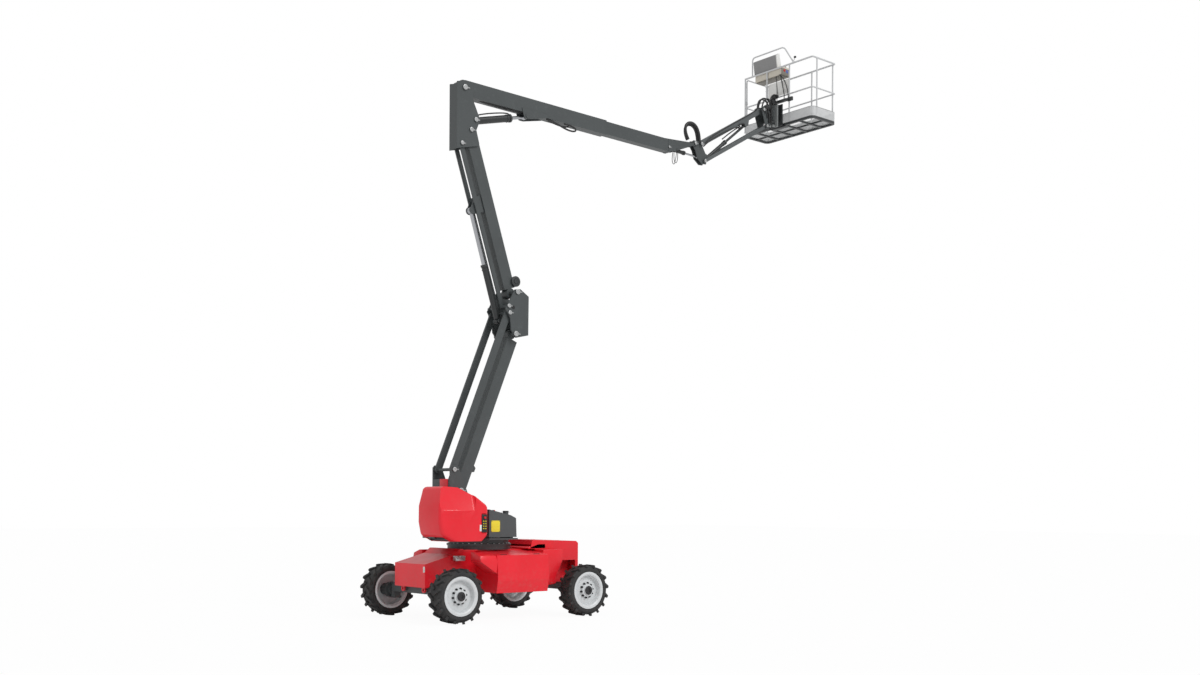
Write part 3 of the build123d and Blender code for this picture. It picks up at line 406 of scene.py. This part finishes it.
# Wheel rims: pressed steel discs in light grey satin paint, with a dark drive hub
# through the middle and ten studs round it.
rim_paint = Finish("rim_paint", (0.62, 0.64, 0.65), 0.42)
grime = rim_paint.noise(16.0, 6.0, rough=0.7).steps(0.5, 0.85)
rim_paint.set("Base Color", rim_paint.blend(grime * 0.5, (0.62, 0.64, 0.65, 1), (0.26, 0.24, 0.22, 1)))
rim_paint.set("Roughness", 0.36 + 0.25 * grime)
rim_paint.bump(rim_paint.noise(150.0, 3.0), 0.06, 0.0006)
dress(rim_paint.material, *[n for n in frame["nodes"] if n.startswith("rim")])
hub_black = dark_paint("hub_black", (0.018, 0.018, 0.020), 3.0, 0.5)
AXLES, TRACK, WHEEL_Z, STUD_CIRCLE = {"front": -1110.0, "rear": 1385.0}, 1010, 422.5, 118
for end, axle_x in AXLES.items():
    for side, hand in ((1, "left"), (-1, "right")):
        y, out = side * TRACK, (0, side, 0)
        made = [disc("hub", spot(axle_x, y + side * 118, WHEEL_Z), out, 0.072, 0.044, 0.2),
                disc("hub", spot(axle_x, y + side * 90, WHEEL_Z), out, 0.100, 0.012, 0.1)]
        for stud in range(10):
            angle = math.radians(36 * stud + 9)
            x, z = axle_x + STUD_CIRCLE * math.cos(angle), WHEEL_Z + STUD_CIRCLE * math.sin(angle)
            made.append(disc("hub", spot(x, y + side * 86, z), out, 0.018, 0.026, faces=6))
            made.append(disc("hub", spot(x, y + side * 102, z), out, 0.009, 0.020, faces=12))
        fitted(joined(f"hub_{end}_{hand}", made), hub_black, f"wheel_{end}_{hand}")

# Guard rails: light grey steel tube bent round the platform's corners, a top rail
# and a middle rail, with posts bolted to the floor frame and a hoop by the console.
rail_paint = Finish("rail_paint", (0.60, 0.61, 0.62), 0.38)
chipped = rail_paint.noise(24.0, 6.0, rough=0.75).steps(0.60, 0.8)
rail_paint.set("Base Color", rail_paint.blend(chipped * 0.6, (0.60, 0.61, 0.62, 1), (0.25, 0.25, 0.25, 1)))
rail_paint.set("Roughness", 0.34 + 0.3 * chipped)
rail_paint.bump(rail_paint.noise(90.0, 3.0), 0.05, 0.0006)


def tube(name, points, radius, corner, steps=8):
    """Round bar bent at points in millimetres, or with no corner size a hose past them."""
    curve = bpy.data.curves.new(name, "CURVE")
    curve.dimensions, curve.bevel_depth, curve.bevel_resolution = "3D", radius / 1000, 4
    curve.resolution_u, curve.use_fill_caps = steps, True
    spots = [spot(*p) for p in points]

    def towards(here, other):
        way = other - here
        return here + way.normalized() * min(corner / 1000, way.length * 0.45)

    line = [spots[0]]
    for before, here, after in zip(spots, spots[1:], spots[2:]):
        line += [towards(here, before), here, towards(here, after)] if corner else [here]
    line.append(spots[-1])
    spline = curve.splines.new("NURBS")
    spline.points.add(len(line) - 1)
    for point, place in zip(spline.points, line):
        point.co = (*place, 1.0)
    spline.order_u = 3 if corner else 4
    spline.use_endpoint_u = True
    piece = bpy.data.objects.new(name, curve)
    bpy.context.collection.objects.link(piece)
    alone(piece)
    bpy.ops.object.convert(target="MESH")
    return bpy.context.object


X0, X1, HALF, FLOOR, MIDDLE, TOP = 7199.0, 7879.0, 892.0, 9497.3, 10012, 10602.0
rails = [tube("rails", [(X0, HALF, TOP), (X0, -HALF, TOP), (X1, -HALF, TOP), (X1, HALF, TOP)], 17, 80)]
for x in (X0, X1):
    rails.append(disc("rails", spot(x, HALF, TOP), (0, 1, 0), 0.0172, 0.006))
rails.append(tube("rails", [(X0, HALF, MIDDLE), (X0, -HALF, MIDDLE), (X1, -HALF, MIDDLE), (X1, HALF, MIDDLE)],
                  14.5, 70))
posts = ((X0 + 130, -HALF), (X0, HALF), (X1, -HALF + 60), (X1, HALF), (X1, -297), (X1, 297), (X0, -297), (X0, 297))
for x, y in posts:
    rails.append(tube("rails", [(x, y, FLOOR), (x, y, TOP)], 15, 10))
rails.append(tube("rails", [(X0, 0.78 * HALF, TOP), (X0, 0.78 * HALF, TOP + 380), (X0, -0.17 * HALF, TOP + 380),
                            (X0, -0.46 * HALF, TOP)], 14, 150))
rails.append(tube("rails", [(X0, -400, TOP), (X0, -430, TOP + 95)], 8, 10))
for post, y in posts:
    rails.append(slab("rails", (post - 20, post + 20), (y - 24, y + 24), (FLOOR - 0.2, FLOOR + 7), 1.5))
    for side in (-1, 1):
        rails.append(disc("rails", spot(post, y + side * 18, FLOOR + 9), (0, 0, 1), 0.005, 0.006, faces=6))
for z in (9777.0, 10505.0):  # the gate's two hinge eyes
    rails.append(disc("rails", spot(7842, HALF, z - 11), (0, 0, -1), 0.022, 0.006))
    rails.append(slab("rails", (7844, X1), (HALF - 7, HALF + 7), (z - 14, z + 14), 2))
rails = fitted(joined("tube_rails", rails), rail_paint.material, "platform")
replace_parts(rails, "guard_rails")

# Gate: a bent steel tube frame in the rails' light grey, across the far end. It
# hangs on two eyes of the corner post, with two bars and a latch block.
GATE_X0, GATE_X1 = 7246, 7842
gate = [tube("gate", [(GATE_X0, HALF, 9680), (GATE_X0, HALF, 10595), (GATE_X1, HALF, 10595), (GATE_X1, HALF, 9680)],
             14, 110)]
for z in (9690, MIDDLE):
    gate.append(tube("gate", [(GATE_X0, HALF, z), (GATE_X1, HALF, z)], 12.5, 10))
gate.append(slab("gate", (7224, 7262), (HALF - 13, HALF + 13), (10080, 10140), 4))
gate = fitted(joined("tube_gate", gate), rail_paint.material, "gate")
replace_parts(gate, "platform_gate")

# Platform floor: expanded steel mesh in light grey for the deck, welded on a rim and
# cross members of dark folded steel, with light sheet toe boards round its edge.
mesh = Finish("expanded_mesh", (0.60, 0.61, 0.61), 0.5)
along, across, upward = [mesh.node("ShaderNodeSeparateXYZ", {}, {0: mesh.place()}, axis) for axis in "XYZ"]
STRAND_PITCH, STRAND_WIDTH = 0.024, 0.0017


def strands(value):
    """1 on each strand of a row that repeats with the value."""
    wave = mesh.node("ShaderNodeMath", {"operation": "PINGPONG"}, {0: value, 1: STRAND_PITCH / 2})
    return wave.over(STRAND_PITCH / 2 - STRAND_WIDTH)


weave = strands(along + across * 0.5 + upward) + strands(along - across * 0.5 - upward)
mesh.set("Alpha", weave.steps(0.2, 0.8))
mesh.set("Base Color", mesh.blend(mesh.noise(12.0, 5.0), (0.66, 0.67, 0.67, 1), (0.50, 0.51, 0.51, 1)))
frame_black = dark_paint("frame_black", (0.040, 0.044, 0.046), 2.2)
dress(frame_black, "platform_bracket")


def less(piece, waste):
    """Takes the shape of a second piece out of the first."""
    alone(piece)
    cut = piece.modifiers.new("cut", "BOOLEAN")
    cut.object, cut.operation, cut.solver = waste, "DIFFERENCE", "EXACT"
    bpy.ops.object.modifier_apply(modifier=cut.name)
    bpy.data.objects.remove(waste)
    return piece


def pillar_box(name, x, y, z, corner):
    """Box with its four upright edges rounded."""
    piece = slab(name, x, y, z, 0)
    places = piece.data.vertices
    picked(piece, "EDGE", lambda edge: abs(places[edge.vertices[0]].co.z - places[edge.vertices[1]].co.z) > 0.001)
    bpy.ops.mesh.bevel(offset=corner / 1000, segments=6)
    bpy.ops.object.mode_set(mode="OBJECT")
    return piece


def ringed(name, x, y, z, wall, corner):
    """Ring cut from a rounded box, leaving a wall of one thickness."""
    outer = pillar_box(name, x, y, z, corner)
    inner = pillar_box(name, (x[0] + wall, x[1] - wall), (y[0] + wall, y[1] - wall), (z[0] - 10, z[1] + 10),
                       corner - wall * 0.6)
    return less(outer, inner)


DECK_X, DECK_Y, DECK_CORNER = (7176, 7902), (-915, 915), 95
rim = [ringed("rim", DECK_X, DECK_Y, (9405, 9452), 44, DECK_CORNER)]
for y in (-560, -190, 190, 560):
    rim.append(slab("rim", (7210, 7868), (y - 24, y + 24), (9405, 9432), 3))
rim.append(slab("rim", (7524, 7554), (-880, 880), (9406, 9433), 3))
rim.append(slab("rim", (7176, 7330), (-210, 210), (9405, 9450), 4))
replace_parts(fitted(joined("floor_rim", rim), frame_black, "platform"), "platform_frame")
deck = bevelled(slab("deck_mesh", (7216, 7862), (-875, 875), (9436, 9441), 0), 0.001, 1)
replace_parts(fitted(deck, mesh.material, "platform"), "platform_floor")
toe_paint = Finish("toe_board", (0.62, 0.63, 0.635), 0.45)
rubbed = toe_paint.noise(9.0, 6.0, rough=0.7).steps(0.45, 0.8)
toe_paint.set("Base Color", toe_paint.blend(rubbed * 0.5, (0.62, 0.63, 0.635, 1), (0.44, 0.45, 0.455, 1)))
toe_paint.set("Alpha", 0.72)
toe_paint.bump(toe_paint.noise(60.0, 3.0), 0.08, 0.001)
toe = ringed("toe_boards", DECK_X, DECK_Y, (9452, 9637), 4, DECK_CORNER)
fitted(toe, toe_paint.material, "platform")
lip = ringed("toe_lip", DECK_X, DECK_Y, (9631, 9639), 12, DECK_CORNER)
fitted(lip, rail_paint.material, "platform")

# Engine hood: a moulded glass-fibre cover in red gloss, its corners well rounded,
# hung on the counterweight. Its upper face leans, and a bay holds the ground controls.
side_line = [(-1170, 1250), (-1345, 1330), (-1388, 1540), (-1385, 1790), (-1300, 2088), (-1000, 2070), (-720, 1940),
             (-495, 1795), (-495, 1330), (-590, 1250)]
hood = slab("hood_shell", (-1391, -494), (-979.5, -330), (1250, 2088.5), 0)
hood = carved(hood, *[((a[0], -600, a[1]), (a[1] - b[1], 0, b[0] - a[0]))
                      for a, b in zip(side_line, side_line[1:] + side_line[:1])])
hood = bevelled(hood, 0.062, 6)
lean = carved(slab("lean", (-1500, -736), (-1200, -800), (1690, 2400), 0), ((-1000, -981, 1690), (0, 400, -125)))
bay = slab("bay", (-636, -400), (-1100, -958), (1366, 1676), 12, 3)
hood = less(hood, joined("lean", [bevelled(lean, 0.045, 4), bay]))
picked(hood, "FACE", lambda face: face.normal.y > 0.9 or face.normal.z < -0.9)
bpy.ops.mesh.delete(type="FACE")
bpy.ops.object.mode_set(mode="OBJECT")
wall = hood.modifiers.new("wall", "SOLIDIFY")
wall.thickness, wall.offset = 0.008, -1
bpy.ops.object.modifier_apply(modifier=wall.name)
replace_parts(fitted(hood, cover_red, "engine_hood"), "engine_hood")

# Ground controls: a black sheet panel screwed into the hood's bay, with a red stop
# button and two rows of yellow moulded switches, and a pale blank plate beside it.
panel_black = dark_paint("panel_black", (0.014, 0.014, 0.015), 2.6, 0.5)
dress(panel_black, "ground_controls")
bezel = slab("control_bezel", (-618, -522), (-970, -964), (1382, 1660), 3)
fitted(bezel, panel_black, "engine_hood")


def plain(name, colour, roughness=0.45):
    """Small moulded or painted part with a fine grain and handling marks."""
    finish = Finish(name, colour, roughness)
    marks = finish.noise(35.0, 6.0, rough=0.7).steps(0.45, 0.8)
    finish.set("Base Color", finish.blend(marks * 0.5, (*colour, 1), tuple(c * 0.6 for c in colour) + (1,)))
    finish.set("Roughness", roughness + 0.2 * marks)
    finish.bump(finish.noise(420.0, 3.0), 0.1, 0.0004)
    return finish.material


signal_red = plain("signal_red", (0.60, 0.02, 0.02))
signal_yellow = plain("signal_yellow", (0.80, 0.66, 0.03))
pale_plastic = plain("pale_plastic", (0.74, 0.74, 0.72))
stop = joined("ground_stop", [disc("stop", spot(-570, -984, 1610), (0, -1, 0), 0.018, 0.014),
                              disc("stop", spot(-570, -976, 1610), (0, -1, 0), 0.010, 0.014)])
fitted(stop, signal_red, "engine_hood")
switches = [disc("switch", spot(-590 + 40 * column, -975, 1555 - 38 * line), (0, -1, 0), 0.009, 0.010, faces=16)
            for column in range(2) for line in range(4)]
fitted(joined("ground_switches", switches), signal_yellow, "engine_hood")
side_plate = slab("ground_plate", (-668, -632), (-983, -978), (1400, 1500), 2)
fitted(side_plate, pale_plastic, "engine_hood")

# Turntable: a red steel plate welded between the stanchions, the grey moulded tank
# with its filler cap and a blank yellow plate, and the slewing ring's zinc bolts.
between = slab("stanchion_plate", (-742, -735.2), (-194, 33), (1905, 2217), 2)
fitted(between, chassis_red, "turntable")
tank_grey = dark_paint("tank_grey", (0.075, 0.085, 0.088), 1.8, 0.55)
dress(tank_grey, "fuel_tank")
yellow = slab("tank_plate", (-212, -42), (-645, -640.2), (1380, 1560), 3)
fitted(yellow, signal_yellow, "turntable")
screws = [disc("screws", spot(x, -646, z), (0, -1, 0), 0.006, 0.004, faces=6)
          for x in (-203, -51) for z in (1389, 1551)]
for turn in range(8):
    angle = math.radians(45 * turn + 12)
    place = spot(150 + 62 * math.cos(angle), -530 + 62 * math.sin(angle), 1694)
    screws.append(disc("screws", place, (0, 0, 1), 0.006, 0.006, faces=6))
screws.append(disc("screws", spot(150, -530, 1706), (0, 0, 1), 0.047, 0.016))
fitted(joined("tank_screws", screws), panel_black, "turntable")
ring = [disc("ring", spot(492 * math.cos(a), 492 * math.sin(a), 1188), (0, 0, 1), 0.013, 0.016, faces=6)
        for a in [math.radians(12 * step) for step in range(30)]]
fitted(joined("ring_bolts", ring), zinc, "turntable")

# Hoses: black rubber hydraulic hose, laid along the arms in pairs, looped over the
# joints and slung under the boom. Each bundle is tied to one arm or cylinder.
hose_rubber = Finish("hose_rubber", (0.012, 0.012, 0.013), 0.55)
scuffed = hose_rubber.noise(60.0, 5.0, rough=0.7).steps(0.4, 0.8)
hose_rubber.set("Base Color", hose_rubber.blend(scuffed, (0.011, 0.011, 0.012, 1), (0.035, 0.035, 0.036, 1)))
hose_rubber.set("Roughness", 0.45 + 0.25 * scuffed)
hose_rubber.bump(hose_rubber.noise(500.0, 2.0), 0.15, 0.0004)


def hoses(name, body, *routes):
    """Bundle of hoses; each route is a radius and its points in mm."""
    made = [tube(name, points, radius, 0, steps=10) for radius, points in routes]
    fitted(joined(name, made), hose_rubber.material, body)


hoses("nose_arch", "nose",
      (27, [(4660, -46, 8670), (4550, -46, 8820), (4600, -46, 9000), (4860, -46, 9010), (4950, -46, 8840),
            (4960, -46, 8650)]),
      (25, [(4670, -4, 8670), (4580, -4, 8810), (4630, -4, 8975), (4850, -4, 8985), (4930, -4, 8830),
            (4940, -4, 8650)]))
hoses("nose_loops", "fly",
      (6, [(4279, -60, 8450), (4200, -75, 8230), (4230, -80, 8085), (4300, -80, 8140), (4345, -70, 8440)]),
      (6, [(4300, -50, 8450), (4260, -60, 8200), (4330, -70, 8110), (4380, -66, 8250), (4370, -60, 8440)]))
hoses("boom_track", "boom",
      (13, [(-100, -40, 8400), (60, -40, 8372), (700, -40, 8366), (860, -40, 8378)]),
      (13, [(-100, -8, 8400), (60, -8, 8368), (700, -8, 8362), (860, -8, 8376)]),
      (15, [(1300, -60, 8358), (1480, -70, 8335), (1640, -80, 8270), (1860, -84, 8240), (1960, -82, 8295),
            (1850, -78, 8345), (1680, -72, 8352)]),
      (12, [(1360, -20, 8352), (1500, -28, 8325), (1640, -34, 8300), (1780, -30, 8318), (1800, -26, 8350)]))
hoses("cylinder_pipe", "boom_cyl_barrel",
      (11, [(-120, -30, 8130), (-60, -30, 8178), (470, -30, 8318), (520, -30, 8290)]))
hoses("jib_cylinder_hoses", "jib_cyl_barrel",
      (14, [(6020, -56, 9130), (5990, -60, 9210), (6090, -62, 9270), (6170, -60, 9250)]),
      (12, [(5560, -50, 8850), (5700, -54, 8960), (5900, -54, 9110), (6010, -50, 9160)]))
hoses("jib_hoses", "jib_arm",
      (10, [(5080, -46, 8640), (5160, -50, 8800), (6000, -50, 9290), (6450, -50, 9555), (6560, -48, 9650)]),
      (10, [(5060, -46, 8610), (5200, -52, 8760), (6020, -52, 9240), (6120, -60, 9180), (6210, -52, 9215)]))

# Jib head: the rotary actuator's black valve block, motor and hose bows, a grey steel
# post bolted beside it, and the dark mounting arm that runs to the platform.
cluster = [slab("valves", (6900, 7010), (-118, -40), (9800, 9905), 6),
           slab("valves", (6925, 6990), (-132, -60), (9905, 9950), 5),
           disc("valves", spot(7030, -60, 9965), (0, 1, 0), 0.042, 0.12),
           disc("valves", spot(7030, -125, 9965), (0, -1, 0), 0.028, 0.04),
           slab("valves", (6790, 6880), (-132, -112), (9400, 9600), 5),
           slab("valves", (6720, 6870), (-128, -110), (9640, 9720), 5)]
for port in range(3):
    cluster.append(disc("valves", spot(6830, -137, 9440 + 60 * port), (0, -1, 0), 0.016, 0.024, faces=6))
fitted(joined("head_valves", cluster), panel_black, "jib_head")
hoses("head_hoses", "jib_head",
      (15, [(6500, -90, 9640), (6500, -100, 9790), (6650, -105, 9850), (6790, -105, 9800), (6800, -100, 9700)]),
      (13, [(6560, -60, 9660), (6600, -70, 9850), (6740, -75, 9900), (6880, -80, 9840), (6900, -80, 9790)]),
      (11, [(6840, -90, 9760), (6860, -100, 9960), (6960, -104, 10020), (7040, -100, 9990)]),
      (9, [(6850, -118, 9600), (6870, -135, 9700), (6900, -135, 9760), (6930, -130, 9800)]),
      (14, [(6620, -96, 9660), (6640, -112, 9800), (6740, -118, 9880), (6850, -116, 9850), (6890, -110, 9700),
            (6880, -110, 9560)]),
      (12, [(6700, -120, 9560), (6690, -132, 9700), (6780, -136, 9830), (6900, -130, 9930), (6990, -120, 9900)]),
      (11, [(6760, -120, 9480), (6740, -138, 9620), (6800, -142, 9740), (6860, -138, 9640), (6850, -126, 9520)]))
post = joined("head_post", [slab("post", (6962, 6990), (-196, -130), (9340, 9770), 4),
                            slab("post", (6900, 6990), (-140, -96), (9350, 9380), 3)])
fitted(post, plain("post_grey", (0.20, 0.21, 0.21)), "jib_head")
arm_bar = joined("bracket_bar", [slab("bar", (7070, 7176), (-330, 60), (9868, 9900), 5),
                                 slab("bar", (7130, 7176), (-420, -300), (9850, 9925), 6)])
fitted(arm_bar, frame_black, "platform")

# Platform control console: a grey sheet back leaning over the rail, a pale end
# cheek and a beige moulded desk under it, with stop button, joysticks and cables.
beige = Finish("console_beige", (0.60, 0.56, 0.48), 0.55)
beige.bump(beige.noise(260.0, 3.0), 0.12, 0.0006)
dress(beige.material, "control_console")
back_grey = plain("console_grey", (0.26, 0.26, 0.26))
back = carved(slab("console_back", (7170, 7330), (62, 660), (10600, 10930), 0),
              ((7216, 0, 10639), (-240, 0, -38)), ((7178, 0, 10879), (-50, 0, 98)), ((7276, 0, 10929), (200, 0, 50)))
fitted(bevelled(back, 0.008, 3), back_grey, "platform")
cheek = carved(slab("console_cheek", (7182, 7330), (40, 62.5), (10620, 10925), 0),
               ((7222, 0, 10639), (-240, 0, -38)), ((7184, 0, 10875), (-50, 0, 98)), ((7280, 0, 10925), (200, 0, 50)))
fitted(bevelled(cheek, 0.006, 3), pale_plastic, "platform")
desk = slab("console_desk", (7218, 7466), (-70, 640), (10470, 10640), 14, 3)
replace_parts(fitted(desk, beige.material, "platform"), "control_console")
tray = joined("console_tray", [slab("tray", (7240, 7450), (-60, 620), (10448, 10470), 5),
                               slab("tray", (7216, 7470), (-74, -66), (10460, 10600), 3)])
fitted(tray, plain("tray_brown", (0.20, 0.185, 0.16)), "platform")
knobs = [disc("knobs", spot(7380, y, 10648), (0, 0, 1), 0.020, 0.018) for y in (-30, 90, 210)]
for y in (150, 420):
    knobs.append(disc("knobs", spot(7400, y, 10670), (0, 0, 1), 0.012, 0.09, faces=16))
    knobs.append(disc("knobs", spot(7400, y, 10722), (0, 0, 1), 0.020, 0.03))
fitted(joined("console_knobs", knobs), panel_black, "platform")
fitted(disc("console_stop", spot(7300, -74, 10560), (0, -1, 0), 0.024, 0.016), signal_red, "platform")
screen = slab("console_screen", (7350, 7410), (-78, -74), (10520, 10580), 3)
fitted(screen, plain("screen_blue", (0.10, 0.14, 0.42), 0.25), "platform")
holder = slab("manual_box", (7205, 7212), (-270, 260), (10040, 10330), 3)
fitted(holder, pale_plastic, "platform")
hoses("console_cables", "platform",
      (9, [(7200, -60, 10460), (7180, -110, 10300), (7180, -180, 10060), (7150, -220, 9900), (7120, -180, 9870)]),
      (8, [(7200, -30, 10460), (7190, -200, 10350), (7185, -270, 10100), (7176, -290, 9925)]),
      (7, [(7210, 60, 10455), (7205, 30, 10200), (7190, 10, 10000), (7140, -20, 9890)]))
knob = slab("rail_knob", (7184, 7216), (-462, -416), (10688, 10724), 8, 3)
fitted(knob, panel_black, "platform")

# Elbow: a flat steel cable reel, bolted to the foot of the upper arm, and the black
# rubber lip of the slot in the elbow plate.
reel = joined("elbow_reel", [disc("reel", spot(640, -96, 5520), (0, -1, 0), 0.088, 0.030, 0.1),
                             disc("reel", spot(640, -112, 5520), (0, -1, 0), 0.040, 0.012)])
fitted(reel, frame_black, "upper_arm")
slot_lip = disc("elbow_slot", spot(470, -271, 5052), (0, -1, 0), 0.030, 0.006)
fitted(slot_lip, panel_black, "elbow")

# Cylinders: hard chrome rods in drawn steel barrels painted satin black, as the jib's
# rod is too, with a wide gland screwed on the rod end of each barrel.
chrome = Finish("chrome", (0.42, 0.43, 0.45), 0.16, 1.0)
chrome.set("Roughness", 0.12 + 0.10 * chrome.noise(30.0, 3.0))
dress(chrome.material, *[n for n in frame["nodes"] if n.endswith("_rod")])
barrel_black = dark_paint("barrel_black", (0.026, 0.029, 0.030), 2.4, 0.4)
dress(barrel_black, *[n for n in frame["nodes"] if n.endswith("_barrel")], "jib_cyl_rod")
# Each gland: its cylinder, the rod's eye, the barrel's length and the gland's radius, in mm.
glands = [("lower", (-164, 2388), 572, 66), ("upper", (-196, 6582), 905, 60), ("boom", (873.5, 8319), 760, 68),
          ("jib", (6235, 9262), 762, 44)]
for which, eye, reach, radius in glands:
    base = pivot(f"{which}_cylinder")
    run = Vector((eye[0] - base[0], 0, eye[1] - base[1])).normalized()
    foot = spot(base[0], 0, base[1])
    collar = [disc("gland", foot + run * (reach + 14) / 1000, run, radius / 1000, 0.030, 0.1),
              disc("gland", foot + run * (reach - 50) / 1000, run, (radius - 3) / 1000, 0.016, 0.05)]
    fitted(joined(f"{which}_gland", collar), frame_black, f"{which}_cyl_barrel")

# Chassis details: a blank plate on the front cover, cream side lamps, pressed red
# skins on the side boxes and covers, black grips, and a zinc steering valve block.
plate = slab("cover_recess", (-1345, -1312), (-446, -440.2), (760, 850), 4)
fitted(plate, pale_plastic, "chassis")
lamp = joined("marker_lamps", [slab("lamp", (1045, 1120), (side * 600 - 12, side * 600 + 12), (845, 892), 8, 3)
                               for side in (-1, 1)])
fitted(lamp, plain("lamp_cream", (0.80, 0.74, 0.52), 0.3), "chassis")
skins = []
for side in (-1, 1):
    skin = slab("skin", (-640, -331), sorted((side * 700, side * 985)), (520, 1070), 0)
    skin = carved(skin, ((-600, side * 985, 900), (-260, 0, -420)), ((-400, side * 955, 1020), (0, side * 90, 30)),
                  ((-400, side * 865, 1045), (0, side * 25, 80)), ((-400, side * 985, 640), (0, side * 200, -40)))
    skins.append(bevelled(skin, 0.010, 2))
    deck_step = slab("skin", (560, 912), sorted((side * 5, side * 600)), (1096, 1222), 0)
    deck_step = carved(deck_step, ((560, 0, 1120), (-90, 0, 300)), ((700, side * 600, 1180), (0, side * 100, 90)))
    skins.append(bevelled(deck_step, 0.010, 2))
    wing = slab("skin", (676, 1075), sorted((side * 610, side * 845)), (560, 1090), 0)
    wing = carved(wing, ((1075, side * 845, 900), (300, 0, -160)))
    skins.append(bevelled(wing, 0.010, 2))
fitted(joined("side_skins", skins), chassis_red, "chassis")
grips = []
for x in (-230, 420):
    for side in (-1, 1):
        grips.append(slab("grips", (x, x + 110), sorted((side * 905, side * 940)), (1022, 1034), 4))
fitted(joined("chassis_grips", grips), panel_black, "chassis")
valve = [slab("valve", (-820, -640), (-560, -470), (930, 1010), 8),
         disc("valve", spot(-780, -560, 985), (0, -1, 0), 0.022, 0.05),
         disc("valve", spot(-700, -560, 985), (0, -1, 0), 0.018, 0.05)]
fitted(joined("steer_valve", valve), zinc, "chassis")
